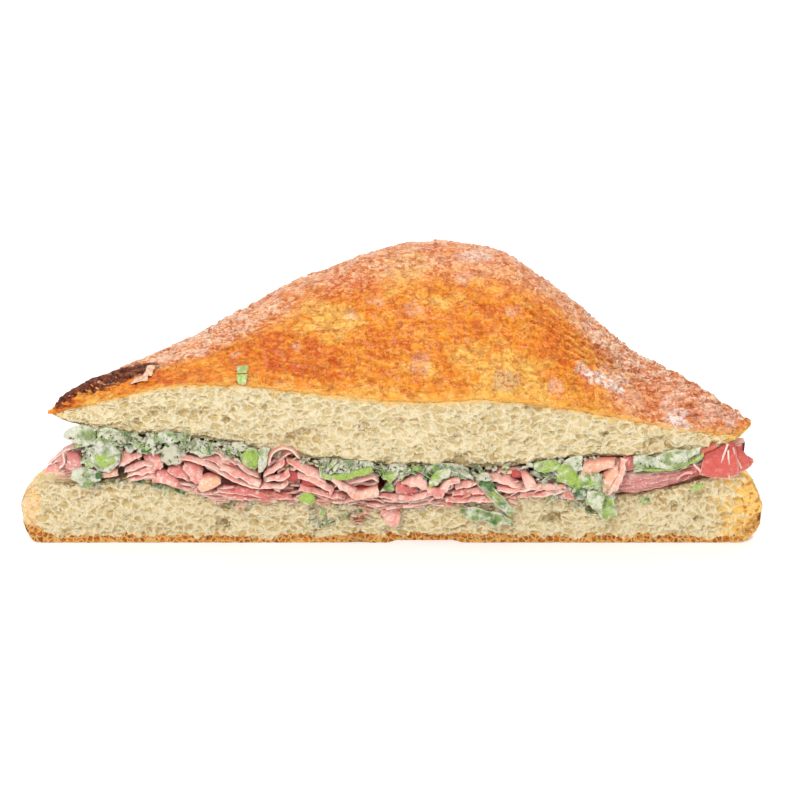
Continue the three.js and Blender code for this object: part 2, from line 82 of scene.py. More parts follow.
CAMERA_AIM, CAMERA_AWAY, CAMERA_TILT = (2.416, CUT_PLANE, 49.173), 545.9, math.radians(30)

# Lines of the cut face as (x, z)
CUT_LINES = {
    "crust_edge": [(-99, 45.2), (-84, 49.2), (-66, 53.8), (-48, 54.9), (-26, 52.5), (2, 49.2), (32, 49.5),
        (60, 44.8), (92, 38.6), (101, 38.2), (105, 41.8)],
    "lid_under": [(-99, 44.4), (-92, 41.1), (-79, 38.4), (-55, 36), (-40, 32.2), (-18, 28.4), (2, 26.7),
        (32, 26.3), (55, 29.8), (81, 30.2), (92, 32.4), (101, 36.2), (105, 41)],
    "bed": [(-110, 17), (-103, 20.5), (-94, 20.1), (-78, 22.2), (-67, 20), (-52, 15.5), (-30, 15.1),
        (2, 12.6), (25, 14.4), (44, 17), (60, 15.8), (74, 16.6), (86, 19.8), (97, 23), (104, 23.4),
        (110, 16)],
    "crest": [(-102, 46.4), (-92, 49.2), (-78, 50), (-68, 50.9), (-58, 52.8), (-37, 60), (-17, 65.2),
        (-8, 66.9), (4, 67.7), (16, 67.2), (28, 67.8), (36, 67.6), (45, 63.6), (55, 57.6), (65, 50.6),
        (76, 43.9), (86, 44.2), (96, 42.4), (105, 42.2)],
    "ham_top": [(-90, 25.5), (-84, 26.5), (-80.5, 31.6), (-77, 32.7), (-73.5, 32.4), (-69.5, 33.4),
        (-66, 31.6), (-63, 30), (-60, 31), (-57, 31.6), (-53.5, 33.4), (-48, 31.4), (-43, 28.6), (-38, 26),
        (-24, 26.6), (-20, 24.2), (-15, 23.4), (-8, 25.2), (-4, 24.8), (0, 23.2), (4.5, 24.4), (8, 23.6),
        (13, 22.6), (17, 23.2), (22, 24.2), (26, 22.4), (42, 22.2), (47, 22.8), (53, 22.4), (60, 22)],
    "broad_low": [(69, 17.2), (76, 18.4), (86, 21.3), (96, 24.8), (104, 26)],
    "broad_high": [(69, 24.2), (76, 24.4), (85, 25.6), (92, 28.9), (97, 32.6), (104, 34.8)],
    "left_low": [(-100, 26), (-96, 23.5), (-91, 22.6)],
    "left_high": [(-100, 28), (-96, 32), (-91, 32.6)],
}

# Folded slices: the path of each on the cut face, from one end of the slice to the other
FOLDS = {
    "ham_fold_1": [(-80.4, 27), (-79.6, 30.2), (-77.1, 31.9), (-74.9, 30.9), (-74.4, 28.4), (-76.9, 27.4),
        (-78.2, 25.6), (-75.3, 24.9), (-73.1, 26), (-72.3, 29.5), (-70.6, 32.5), (-68.6, 32.3), (-67.6, 29.8),
        (-68.2, 25.6), (-70.1, 23.4), (-74, 23), (-77.8, 23.5)],
    "ham_fold_2": [(-65.9, 24.6), (-64.4, 27), (-62.1, 29.4), (-59.6, 30.3), (-57.8, 29.3), (-57.3, 27.2),
        (-59, 25.7), (-60.9, 24.4), (-60.4, 22.6), (-58.2, 22.3), (-57, 23.6)],
    "ham_fold_3": [(-53.6, 32.7), (-51.4, 32), (-47.6, 30.2), (-43.9, 27.4), (-41.2, 25), (-39.4, 22.8),
        (-41.2, 21.9), (-44.9, 23.9), (-48.3, 26.3), (-52.2, 28.4), (-54.5, 28.6), (-54.4, 26.7),
        (-50.8, 24.6), (-46.2, 21.8), (-42.1, 20.1), (-39.4, 19.5)],
    "ham_fold_4": [(-37.9, 20.8), (-36.9, 24.3), (-36, 27.4), (-34.2, 29.3), (-31.9, 29.5), (-29.7, 28.9),
        (-28.4, 27.4), (-29.6, 26.1), (-31.8, 26.4), (-33.3, 25.2), (-32.2, 23.7), (-29.5, 24.2), (-27.7, 23),
        (-28.3, 21.4), (-31.1, 21.8), (-33.4, 20.9), (-32.4, 19.3), (-29.1, 19.3)],
    "ham_fold_5": [(-25.6, 27.2), (-23.3, 25.4), (-20.1, 23), (-21.5, 21.6), (-24.8, 21.9), (-25.9, 20.3),
        (-23.4, 18.9), (-19.6, 18.8), (-17.2, 20), (-15.1, 22.2), (-11.8, 23.6), (-7.6, 24.2), (-4.9, 23.5),
        (-4.2, 21.7), (-6.4, 20.6), (-10, 21.1), (-12.4, 19.7), (-11.4, 18), (-7.4, 17.7), (-4.1, 18.3)],
    "ham_fold_6": [(-2.1, 17.3), (-0.2, 18.6), (0.9, 21.1), (3, 23.2), (6, 23.3), (7.2, 21.5), (5.4, 20),
        (3, 19.3), (3.6, 17.5), (6.6, 17.4), (8.7, 18.8), (9.3, 21.3)],
    "ham_fold_7": [(11.3, 17.5), (11.6, 19.5), (13.7, 21.4), (16.7, 22), (17.9, 20.7), (16.1, 19.5),
        (16.7, 18), (20, 18.3), (22.9, 19.3), (24.8, 20.7), (24, 22.3), (21.3, 23)],
    "ham_fold_8": [(28.4, 19.7), (28.4, 22), (30.7, 24), (34.3, 24.9), (37.8, 25.1), (40.1, 23.8),
        (40.5, 21.6), (38.6, 20.5), (35.9, 21.4), (33.2, 22), (31.3, 20.7), (32.1, 18.8), (36, 18.7),
        (40, 19.2)],
    "ham_fold_9": [(43.4, 21.2), (46.6, 21.8), (50.4, 21.6), (53.3, 20.8), (53.6, 19.3), (50.9, 19.1),
        (46.7, 19.5), (43.4, 19.5)],
    "ham_hanging": [(57.4, 25.6), (57.8, 27.6), (60.1, 28.6), (63.6, 28.6), (66.3, 28.1), (68.2, 26.8),
        (68.7, 24.3), (68.1, 21), (66.3, 17.9)],
}

# Loose ham in front of the folds: the front edge and the back edge as (x, z), the depth y of each, then how
# red and how browned it is. A redness of 1 marks a sheet of painted shade, deep red and set back into a hollow
# between the folds, and one of -1 a strand of fat; a browning below 0 is dusky.
HAM_SHEETS = [
    ([(-100.6, 27.3), (-97.5, 29.1), (-94.6, 28.7), (-91.8, 26.6)], [(-100.3, 28.2), (-97.6, 30.9),
     (-94.6, 31.6), (-91.3, 29.9)], -1, 1, 0.3, -0.8),
    ([(-99, 29.8), (-96.1, 32.2), (-92.5, 33.9)], [(-97.9, 30.3), (-95.3, 32.4), (-92.3, 33.4)], -0.5, 2,
     0.2, -0.7),
    ([(-101.5, 27.7), (-97.9, 30.8), (-94.8, 32.8), (-91.2, 33.9)], [(-101.3, 27.2), (-98.1, 30.3),
     (-94.9, 32.4), (-91.3, 33.1)], -1, 1.4, 0.1, -0.5),
    ([(-95.7, 27.4), (-93.4, 26.3), (-91, 27.7)], [(-95.2, 32.2), (-92.8, 32.2), (-90.6, 30.4)], -2.2, -1,
     0.6, -1),
    ([(-97.1, 26.9), (-95.7, 29.7), (-95.7, 33.1)], [(-98.1, 27.1), (-96.4, 29.9), (-96.5, 32.6)], -2.6,
     -1.8, -0.1, -0.3),
    ([(-102.9, 24.2), (-99.5, 25.5), (-96.1, 24.5)], [(-101.7, 26.7), (-99.2, 28.1), (-96, 27.4)], -1.5, 0,
     0.12, -0.3),
    ([(-85.6, 24.5), (-83.3, 24.2), (-80.5, 25.2)], [(-85.3, 26.5), (-82.9, 27.2), (-80.2, 27.2)], -2.6,
     -1.4, 0.35, 0.7),
    ([(-80.1, 27.9), (-77.6, 28.9), (-75.5, 30.3), (-73, 31.7)], [(-79.7, 32.6), (-77.4, 32.6),
     (-75.4, 31.9), (-73.3, 31.9)], -2.5, 0, 0.2, 0),
    ([(-72.2, 28.1), (-70.5, 26.7), (-68.7, 26.7), (-67.2, 27.7)], [(-73.2, 30.6), (-71.4, 32),
     (-69.3, 32.3), (-67.6, 31.6)], -2.2, 1, 0.45, 0),
    ([(-78.7, 26.1), (-75.9, 27.2), (-72.9, 28.2), (-70, 28.6)], [(-78.3, 27.2), (-75.5, 28.6),
     (-72.8, 29.3), (-70.2, 29.3)], -3, -0.8, 0.4, 0),
    ([(-78.1, 24.6), (-75.1, 25.6), (-72.1, 26.3), (-69.5, 26.3)], [(-77.7, 25.5), (-75, 26.9),
     (-72.3, 27.6), (-69.7, 27.2)], -3.3, -1.4, 0.3, 0),
    ([(-77.7, 22.7), (-74.7, 23.7), (-71.7, 24.4), (-69.1, 24.1)], [(-77.2, 23.9), (-74.5, 24.9),
     (-71.8, 25.6), (-69.2, 25.3)], -3, -1.6, 0.45, 0),
    ([(-70.6, 23), (-67.7, 22.3), (-64.8, 21.3), (-62.2, 20.6)], [(-70.4, 25.9), (-68, 26.6), (-65.4, 25.6),
     (-62.9, 22.8)], -3, -1, 0.65, 0),
    ([(-66.1, 26.2), (-64.1, 24.9), (-61.8, 23.8), (-59.5, 22.8)], [(-65.7, 27), (-63.9, 27.4),
     (-61.8, 27.7), (-60.4, 26.7)], -2.6, 0, 0.6, 0),
    ([(-61.2, 28.1), (-59.9, 25.4), (-58.2, 22.9), (-55.9, 22.6)], [(-61.1, 28.8), (-59, 29.1),
     (-56.7, 28.5), (-55.4, 26.4)], -3.4, -0.6, 0.5, 0),
    ([(-62.4, 31.4), (-58.4, 30.3), (-53.8, 28.3), (-48.7, 24.8), (-43.5, 22), (-38.3, 20.6)],
     [(-62.1, 31.6), (-58.3, 31.2), (-53.7, 29.5), (-48.5, 26.1), (-43.4, 22.9), (-38.1, 21.2)], -3.6, -1.2,
     0.2, 0),
    ([(-55.2, 30.7), (-52.1, 29.4), (-48.7, 26.6), (-44.9, 25.2)], [(-55, 30.2), (-52, 31.2), (-48.5, 29.9),
     (-44.5, 26)], -2.6, 0.5, 0.5, 0),
    ([(-53.4, 33.3), (-49.8, 30.6), (-46.1, 28.2), (-42.6, 25.4), (-38.9, 23.6)], [(-53.9, 34), (-50.2, 33),
     (-46.7, 30.9), (-43, 27.5), (-39.3, 24.3)], -1.8, 1, 0.02, 0),
    ([(-50.6, 28), (-46.9, 26), (-42.9, 23.5), (-39.1, 21.4)], [(-49.8, 29), (-46.4, 27.6), (-42.3, 25.2),
     (-38, 23.1)], -3.8, -2, 0.3, 0),
    ([(-57.3, 21.9), (-55.7, 20.5), (-53, 21.2), (-50.2, 23)], [(-56.5, 23.8), (-54.7, 25.5), (-52.6, 25.5),
     (-50, 24.1)], -4, -2, 0.1, 1),
    ([(-51.6, 20), (-46.3, 18.9), (-40.5, 17.9), (-34.6, 16.8), (-29.6, 16.8)], [(-51.5, 21), (-46.1, 20.7),
     (-40.2, 20), (-34.4, 18.9), (-29.6, 18.6)], -3.2, -1, 0.8, 0),
    ([(-56.7, 18.9), (-52.3, 18.2), (-48, 17.1), (-42.1, 16.1)], [(-56.2, 20), (-52.1, 19.6), (-47.4, 18.9),
     (-42.1, 17.9)], -2.6, -1, 0.7, 0),
    ([(-35.9, 28.9), (-34.9, 32.7), (-32.2, 34.8), (-29.3, 34.1), (-27.1, 31.4)], [(-36.7, 28.5),
     (-35.7, 32.3), (-32.4, 34.3), (-28.9, 33.7), (-26.6, 30.6)], -3.6, -1.2, 0.15, 0),
    ([(-35.4, 25.6), (-33, 26.3), (-30, 27)], [(-35.6, 29.2), (-32.6, 31.2), (-29.7, 29.9)], 0.6, 1.6, 1, 0),
    ([(-34.6, 27.3), (-33.1, 29.1), (-31.6, 31.1), (-29.8, 32.5)], [(-32.9, 30.9), (-31.4, 31.6),
     (-29.9, 32), (-28.2, 30.9)], -1.6, 1, 0.5, -0.6),
    ([(-37.9, 24.9), (-35.5, 25.9), (-33.1, 27.7), (-31.3, 29.4)], [(-37.4, 26.1), (-35.2, 27.8),
     (-33.1, 29.2), (-31.6, 30.6)], -3.2, -1.2, 0.3, 0),
    ([(-37, 23.4), (-34.1, 23.7), (-31.7, 24.1), (-29.9, 25.8)], [(-36.8, 24.6), (-34.1, 24.9), (-32, 25.6),
     (-30.5, 27.7)], -3.6, -1.6, 0.35, 0),
    ([(-38.6, 21.2), (-35.3, 20.8), (-32.4, 20.5), (-30.3, 22.6)], [(-38.4, 22), (-35.4, 22), (-32.8, 22),
     (-30.9, 23.7)], -3.4, -1.4, 0.3, 0),
    ([(-30.4, 29.5), (-27, 26.7), (-23.2, 24.3), (-19.4, 22.2)], [(-31.4, 30.2), (-27.6, 29.1), (-23.5, 27),
     (-19.5, 23.9)], -2.8, 0, 0.02, 0),
    ([(-27.8, 24.8), (-24.6, 23.4), (-21.2, 21.3), (-17.7, 18.8)], [(-27.6, 25.9), (-24.4, 24.9),
     (-20.9, 23.1), (-16.8, 20.7)], -3.6, -1.5, 0.2, 0),
    ([(-27.4, 20.5), (-23.6, 19.4), (-19.5, 17.7), (-14.8, 17)], [(-27.1, 21.8), (-23.3, 20.7),
     (-19.2, 19.3), (-14.5, 18.3)], -3.4, -1.6, 0.5, 0),
    ([(-17.9, 23.7), (-14.7, 20.6), (-11.2, 17.8)], [(-17.3, 24.5), (-13.8, 22.4), (-10, 20.3)], -3.6, -2,
     0.08, 0),
    ([(-17.4, 21.8), (-13.8, 21.1), (-10, 21.8), (-5.8, 23.2), (-3.8, 22.1)], [(-16.9, 22.1), (-13.3, 22.8),
     (-9.4, 23.9), (-5.9, 24.6), (-4.1, 23.5)], -1.6, 0.6, 0.12, 0),
    ([(-13.2, 18.9), (-10.3, 17.2), (-7.3, 17.9), (-3.8, 18.6)], [(-12.9, 20.6), (-10, 20.2), (-7, 20.9),
     (-3.8, 22)], -3.7, -2.5, 0.12, 0.5),
    ([(-13.6, 17.9), (-10.7, 17.6), (-7.4, 17.6), (-4.1, 17.6)], [(-13.3, 19.8), (-10.4, 20.1), (-7.4, 20.5),
     (-4.1, 20.1)], 0, 1, 1, 0),
    ([(-14.2, 15.5), (-10.6, 16.6), (-6.5, 17.3), (-2.3, 17.3), (3, 16.2)], [(-13.9, 16.2), (-10.4, 17.3),
     (-6.2, 18), (-2, 18.4), (3, 17.7)], -2.8, -1.2, 0.6, 0),
    ([(-3.3, 11.2), (-1.8, 7.9), (0.3, 6.2), (2.4, 7.6)], [(-3.3, 12.2), (-1.2, 12.9), (0.9, 12.9),
     (2.7, 11.5)], -1.6, -1, 0.25, 0),
    ([(2.7, 22.4), (5.4, 21.4), (8, 20.3), (10.7, 19.6)], [(3.3, 22.8), (6, 24.2), (8.3, 24.9),
     (10.7, 24.6)], -2.6, -0.5, 0.12, 0),
    ([(0.9, 17.8), (3.3, 17.4), (5.7, 17.4), (7.8, 18.1)], [(1.2, 22.2), (3.3, 21.1), (5.7, 20.1),
     (7.8, 19.7)], -1.4, 0, 0.9, 0),
    ([(1.8, 16.8), (5.4, 16.5), (9.5, 17.5), (14.2, 18.6)], [(2.1, 17.9), (5.7, 17.9), (9.5, 19),
     (14, 20.4)], -3.2, -1.6, 0.3, 0),
    ([(10.4, 19.3), (13.1, 17.9), (15.4, 16.8)], [(10.1, 21.3), (12.5, 21), (14.8, 20.6)], -3.2, -2, 0.35,
     0),
    ([(14.8, 17.3), (16, 20.1), (17.7, 22.2), (20.4, 22.9)], [(13.4, 17.8), (14.5, 21.4), (16.9, 23.5),
     (20.1, 24.2)], -3.4, -1.5, 0.22, 0),
    ([(18.7, 19.4), (20.7, 20.4), (23.1, 20.8), (25.7, 21.5)], [(18.7, 21.7), (20.8, 22.1), (23.1, 22.8),
     (25.8, 23.5)], -2.2, -0.4, 0.08, 0),
    ([(15.7, 16.5), (20.8, 15.8), (26.1, 16.1), (31.4, 16.5)], [(16.1, 17.5), (21.1, 17.5), (26.4, 17.8),
     (31.5, 18.2)], -3.2, -1.5, 0.5, 0),
    ([(17.5, 17.9), (22.5, 18.6), (27.9, 18.9)], [(17.8, 18.9), (22.9, 20), (28.2, 20.7)], -2.6, -1, 0.6, 0),
    ([(27.8, 22.4), (30.4, 22.8), (33.4, 21.7), (36.7, 20.7), (40.5, 20.7)], [(27.6, 23.6), (30.8, 24.6),
     (34.4, 24.3), (37.4, 21.8), (41, 20.8)], -2.6, 0.5, 0.1, 0),
    ([(39.6, 20.4), (41.7, 20.8), (43.1, 21.5)], [(37.8, 25.9), (39.9, 25.6), (42, 22.8)], -2.8, -1, 0.12,
     0),
    ([(34.1, 21.8), (36.8, 20.4), (39.5, 19.7)], [(34.4, 24.7), (37, 24.7), (39.8, 23.3)], 0.5, 1, 1, 0),
    ([(30.8, 20), (36.4, 19.3), (42.3, 20.3), (48.2, 20.3), (51.7, 20.7)], [(31.1, 21), (36.5, 20.3),
     (42.6, 21.7), (48.2, 21.7), (51.5, 21.4)], -3.2, -1.5, 0.2, 0),
    ([(37.6, 17.7), (42.9, 18), (47.6, 19.1), (51.7, 19.8)], [(37.9, 18.9), (43, 19.2), (47.7, 20.3),
     (51.8, 21)], -3.4, -2, 0.35, 0),
    ([(50.1, 16.9), (52.2, 16.6), (54.9, 16.9)], [(50, 21.7), (51.8, 22.4), (54.2, 21)], -2.8, -1, 0.6, 0),
    ([(55.5, 23.6), (58.4, 24.9), (61.5, 26.3), (65, 27.4)], [(56.2, 29.1), (59.4, 30.1), (62.6, 30.4),
     (65.8, 30.4)], -2.2, -1, 0.2, 0.8),
    ([(62.5, 18.5), (63.9, 19.9), (65.2, 22.7), (66.8, 25.8)], [(61.7, 24.8), (63.1, 26.2), (64.5, 27.6),
     (66.2, 28.6)], -3, -1.4, 0.5, 1),
    ([(64.2, 18.5), (66.4, 21.3), (67.9, 25.8), (68.7, 31.4)], [(62.8, 18.6), (64.9, 22.4), (66.5, 26.6),
     (66.8, 31.4)], -3.6, -2.6, 0.08, 0.4),
    ([(68, 25), (69.8, 25), (71.8, 25.7)], [(68.1, 29.9), (69.9, 29.9), (71.6, 29.9)], 0, 1, 0.95, 0),
    ([(90.5, 30.9), (92.8, 31.6), (95.3, 33.3)], [(90.7, 32.6), (92.7, 33.6), (95.2, 35)], -0.6, 0, 0.5, 1),
    ([(90.3, 25.5), (94.6, 24.2), (98.7, 24.2), (102.1, 25.2)], [(91.3, 31.2), (94.3, 33), (97.7, 35),
     (100.3, 35.4)], -2.6, -1.2, 0.9, 0.1),
    ([(100.5, 24.8), (103.1, 25.9), (105, 27.6)], [(99.2, 34.2), (101.9, 33.9), (104.6, 30.1)], -2, -1, 0.6,
     -0.1),
    ([(103.8, 25.9), (105.5, 27), (106.4, 29.1)], [(102.9, 30.5), (104.4, 30.5), (106.3, 29.1)], -1, 0, 0.1,
     -0.2),
    ([(96.4, 29), (97.3, 32.4), (98.2, 36.2)], [(95.9, 29), (96.8, 32.5), (97.7, 36.2)], -3.1, -2.6, -1, 0),
    ([(99.5, 24), (99.1, 28.8), (98.3, 34.3)], [(99, 23.7), (98.5, 28.6), (97.8, 34.1)], -3.4, -3, -1, 0),
    ([(102.8, 27.8), (101, 31.5), (99.5, 35)], [(102.3, 27.2), (100.5, 31), (99.3, 34.4)], -2.8, -2.4, -1,
     0),
    ([(91.7, 25.8), (90.4, 27.9), (88.5, 29.6)], [(91.6, 24.9), (89.9, 26.9), (88.3, 28.7)], -3, -2.6, -1,
     0),
    ([(83.8, 23.1), (86, 24.9), (88.3, 25.5)], [(83.8, 23.8), (86, 25.9), (88.6, 26.6)], -2.6, -2, 0.05,
     -0.2),
    ([(-32.5, 27.5), (-31.4, 27.5), (-30.2, 28.2)], [(-32.5, 29.3), (-31.3, 29.7), (-30.1, 29.3)], -2.4, -2,
     1, 0),
    ([(-31.2, 22.8), (-29.4, 22.4), (-27.3, 23.1)], [(-31.1, 25.7), (-29.3, 26), (-27.3, 25.3)], -3.2, -2.8,
     1, 0),
    ([(-26.8, 21.2), (-24.4, 20.8), (-21.5, 21.2)], [(-26.5, 23), (-24.1, 23.4), (-21.5, 22.3)], -3.4, -3, 1,
     0),
    ([(-41.8, 21.8), (-39.1, 21.5), (-36.5, 20.8)], [(-41.7, 22.4), (-39.1, 22.4), (-36.5, 21.7)], -3.9,
     -3.7, 1, 0),
    ([(-72.1, 26.4), (-70, 26.7), (-68, 26.7)], [(-71.8, 26.8), (-70.1, 27.2), (-68, 27.5)], -3.4, -3, 1, 0),
    ([(-61, 28.1), (-59.2, 28.8), (-57.4, 28.8)], [(-61, 29.3), (-59.2, 30), (-57.2, 29.3)], -2.2, -1.4, 1,
     0),
    ([(4.8, 17.7), (7.1, 17.7), (9.5, 18.4)], [(4.8, 18.2), (7.1, 18.2), (9.5, 18.9)], -3.4, -3.2, 1, 0),
    ([(19, 17.3), (23.1, 17.3), (28.4, 17.7)], [(19, 18.2), (23.1, 18.6), (28.4, 18.9)], -3.4, -3.2, 1, 0),
    ([(31.3, 20.8), (34.9, 20.4), (39.3, 20.8)], [(31.3, 21.3), (34.9, 21.3), (39.3, 21.3)], -3.3, -3, 1, 0),
    ([(35.4, 23.3), (37.2, 23), (38.7, 23.7)], [(35.1, 25.6), (36.5, 26), (38, 25.3)], -2.4, -2.2, 1, 0),
]

# Torn leaves: the lower and the upper edge as (x, z), the depth y of each, then how bright and how coated
LEAVES = [
    ([(-95.7, 37.8), (-93, 36.1), (-89.9, 34.7), (-86.4, 34.7)], [(-95.6, 38.4), (-92.8, 40.4),
     (-89.5, 41.1), (-86.1, 39.8)], -1.8, -0.6, 0.5, 0.85),
    ([(-90.8, 28.9), (-88.6, 30.6), (-86, 33), (-83.5, 36.1)], [(-91.7, 29.3), (-89.5, 32.1), (-87.2, 34.8),
     (-84.9, 37.9)], -3, -2, 0.45, 0.7),
    ([(-86.2, 36.4), (-84, 35), (-81.4, 34.4), (-78.4, 35)], [(-85.9, 39.4), (-83.4, 40.4), (-80.9, 39.8),
     (-78.4, 38.4)], -1.8, -0.6, 0.75, 0.6),
    ([(-87, 30.3), (-85.1, 28.6), (-82.5, 28.6), (-80.6, 30.7)], [(-86.3, 33.3), (-84.5, 34.6),
     (-82.2, 33.9), (-80.3, 32.2)], -3.6, -2.8, 1, 0.15),
    ([(-88.6, 29.6), (-85.6, 26.8), (-82.4, 26.8), (-79.6, 29.6)], [(-87.2, 34.6), (-84.4, 36.3),
     (-81.6, 35.3), (-79.1, 32.9)], -3, -2.2, 0.4, 0.8),
    ([(-94.3, 24.4), (-92.3, 23), (-90.5, 21), (-88.3, 22.4), (-85.5, 24.1)], [(-93.9, 27.1), (-91.4, 28.1),
     (-89.4, 28.1), (-87.4, 27.1), (-85.5, 25.7)], -3.6, -2.8, 0.45, 0.6),
    ([(-89.9, 28.7), (-88.5, 28), (-86.9, 28.7)], [(-90.1, 30.7), (-88.5, 32.1), (-86.7, 32.8)], -3.2, -2.6,
     0.8, 0.3),
    ([(-88.1, 24.3), (-86.6, 24), (-85.1, 25)], [(-87.7, 26.1), (-86.2, 26.7), (-85, 26.4)], -4, -3.4, 0.1,
     0.1),
    ([(-78, 33.2), (-76.3, 32.5), (-74.1, 34.2)], [(-77.4, 35.7), (-75.5, 37), (-73.2, 37)], -1.6, -0.6, 0.2,
     0.45),
    ([(-74.8, 32.5), (-72.4, 32.5), (-70.6, 33.6), (-68.5, 35.3)], [(-73.9, 34.6), (-71.7, 36.9),
     (-69.9, 37.6), (-68.2, 37.3)], -2.2, -1, 0.8, 0.5),
    ([(-68.6, 37.3), (-66.7, 35.6), (-64.1, 35.6), (-61.1, 36.7), (-58.5, 36.3)], [(-68.1, 38.8),
     (-66.3, 39.4), (-64, 39.1), (-61.1, 38.1), (-58.5, 37.1)], -2.2, -1.2, 0.4, 0.5),
    ([(-59.3, 32.3), (-56.8, 31.3), (-54.4, 30.9), (-52, 31.6)], [(-58.7, 35), (-56, 36), (-54.1, 34.7),
     (-51.8, 33.3)], -1.8, -0.6, 0.6, 0.65),
    ([(-44.2, 29.5), (-42.6, 27.5), (-40.8, 26.8), (-39, 27.5)], [(-43.9, 31.5), (-42.1, 33.5),
     (-40.3, 33.5), (-38.9, 32.2)], -1.8, -1, 0.85, 0.1),
    ([(-39.3, 26.1), (-38.2, 26.1), (-36.6, 28.5)], [(-39.1, 33.2), (-37.6, 34.2), (-35.6, 33.9)], -2.4,
     -1.6, 0.5, 0.9),
    ([(-21.4, 24.7), (-18.2, 23.3), (-13.8, 23.6), (-9.9, 25), (-5.5, 26.4)], [(-20.8, 25.9), (-17.6, 25.2),
     (-13.8, 25.6), (-9.9, 27), (-5.8, 28)], -2.9, -2.1, 1, 0.05),
    ([(-21.5, 24.8), (-17.6, 24.4), (-13.8, 25.1), (-9.7, 26.2)], [(-20.9, 27), (-17.3, 28.1), (-13.8, 28.8),
     (-9.7, 28.8)], -1.4, 0, 0.2, 0.7),
    ([(-9.6, 26.1), (-7.6, 26.8), (-5.2, 27.1)], [(-9.6, 28.8), (-7.6, 28.8), (-5.2, 28.1)], -1.8, -0.6, 0.4,
     0.8),
    ([(-27.5, 17), (-26.3, 15.2), (-24.6, 14.8), (-22.7, 16.6)], [(-27.2, 18.7), (-25.7, 19.4),
     (-24.2, 19.4), (-22.7, 19)], -3.4, -2.8, 1, 0.1),
    ([(-2.9, 24.4), (-1.1, 22.6), (0.6, 23.3), (2.1, 25.4)], [(-2.6, 25.5), (-0.8, 26.5), (0.9, 27.6),
     (2.4, 27.6)], -2.4, -1.4, 0.9, 0.35),
    ([(-3.8, 19.1), (-1.4, 19.5), (0.9, 19.5)], [(-2.3, 21.1), (-0.8, 22.5), (0.6, 21.1)], -2.4, -1.6, 0.5,
     0.2),
    ([(2.4, 22.5), (4.2, 24.6), (6.5, 26), (9.8, 26.3)], [(2.1, 23.3), (3.6, 26.1), (6.5, 27.4),
     (9.8, 27.4)], -2.2, -1.2, 0.45, 0.2),
    ([(9.5, 24.8), (12.4, 24.4), (16, 24.1), (19.5, 23), (22.8, 23.4)], [(9.8, 26.5), (13, 27.5),
     (16.6, 27.9), (19.8, 27.2), (23.1, 25.8)], -1.4, -0.2, 0.25, 0.45),
    ([(10.7, 20.9), (13, 21.9), (15.1, 23.6), (17.1, 24.7)], [(11, 23.4), (13, 25.9), (15.1, 26.9),
     (17.4, 26.9)], -2.9, -2, 1, 0.25),
    ([(25.4, 22.2), (27.8, 20.1), (30.5, 19.8)], [(25.7, 24.3), (28, 23.9), (30.7, 21.8)], -3.4, -2.8, 0.05,
     0.05),
    ([(41.5, 26.9), (43.9, 25.9), (46.8, 25.9), (49.5, 26.9)], [(41.8, 28.4), (44.4, 29.1), (47.1, 29.4),
     (49.7, 28.7)], -2, -1, 1, 0.3),
    ([(40.5, 24.2), (43.8, 23.1), (47.3, 22.8), (50, 22.4)], [(40.8, 25), (44.1, 25.3), (47.3, 25),
     (50, 24.6)], -1, 0, 0.2, 0.5),
    ([(48.4, 23.2), (50.5, 22.5), (52.6, 21.5), (54.7, 19.7)], [(48.6, 26.4), (50.6, 28.9), (52.6, 28.2),
     (54.8, 25.7)], -2.8, -1.8, 0.95, 0.2),
    ([(50.1, 25), (52.5, 24.7), (55.7, 26.1)], [(50.4, 28.6), (52.6, 30.3), (56.1, 30.7)], -1.8, -0.8, 0.8,
     0.5),
    ([(53, 19.2), (55.6, 19.9), (58.5, 20.2), (61.8, 20.6)], [(53.7, 23.8), (56.3, 25.5), (58.9, 25.5),
     (61.9, 25.2)], -3, -2, 0.7, 0.4),
    ([(53.9, 17.8), (55.7, 17.4), (57.7, 18.1)], [(54.1, 20.6), (55.8, 21.3), (57.6, 20.9)], -3.6, -3, 0.15,
     0.1),
    ([(57.1, 16.9), (59.6, 14.7), (62.1, 12.6)], [(57.6, 20.3), (60.3, 20), (63, 18.2)], -3.8, -3.2, 0.9,
     0.6),
    ([(88.3, 19), (90.4, 19), (92.4, 20.4)], [(88.6, 20.1), (90.3, 21.2), (92, 21.5)], -1.6, -1.2, 1, 0),
    ([(73.3, 14.3), (75.4, 14), (76.8, 15)], [(73.5, 15.6), (75.3, 16.3), (76.8, 15.9)], -1, -0.7, 0.6, 0.2),
    ([(70.9, 26.9), (74.4, 26.9), (77.9, 27.3)], [(70.8, 30.9), (74.2, 31.2), (78.1, 30.2)], -2, -1.2, 0.4,
     0.75),
    ([(77.3, 27.4), (80.9, 27), (84.4, 27.7), (87.2, 29.1)], [(76.4, 29.9), (79.2, 31.9), (82.6, 33),
     (86.4, 33)], -2.2, -1.2, 0.7, 0.95),
    ([(70.9, 26.5), (75.9, 26.5), (80.9, 26.5), (85.8, 27.6), (91.4, 31.4)], [(70.9, 26.8), (75.9, 27.1),
     (80.9, 27.1), (85.8, 28.5), (91.4, 32.3)], -2.5, -1.8, 0.75, 0.2),
    ([(84.3, 29), (87.4, 30.7), (90.2, 32.4)], [(84.8, 31.2), (87.6, 33), (90.5, 34)], -2, -1.2, 0.9, 0.4),
]

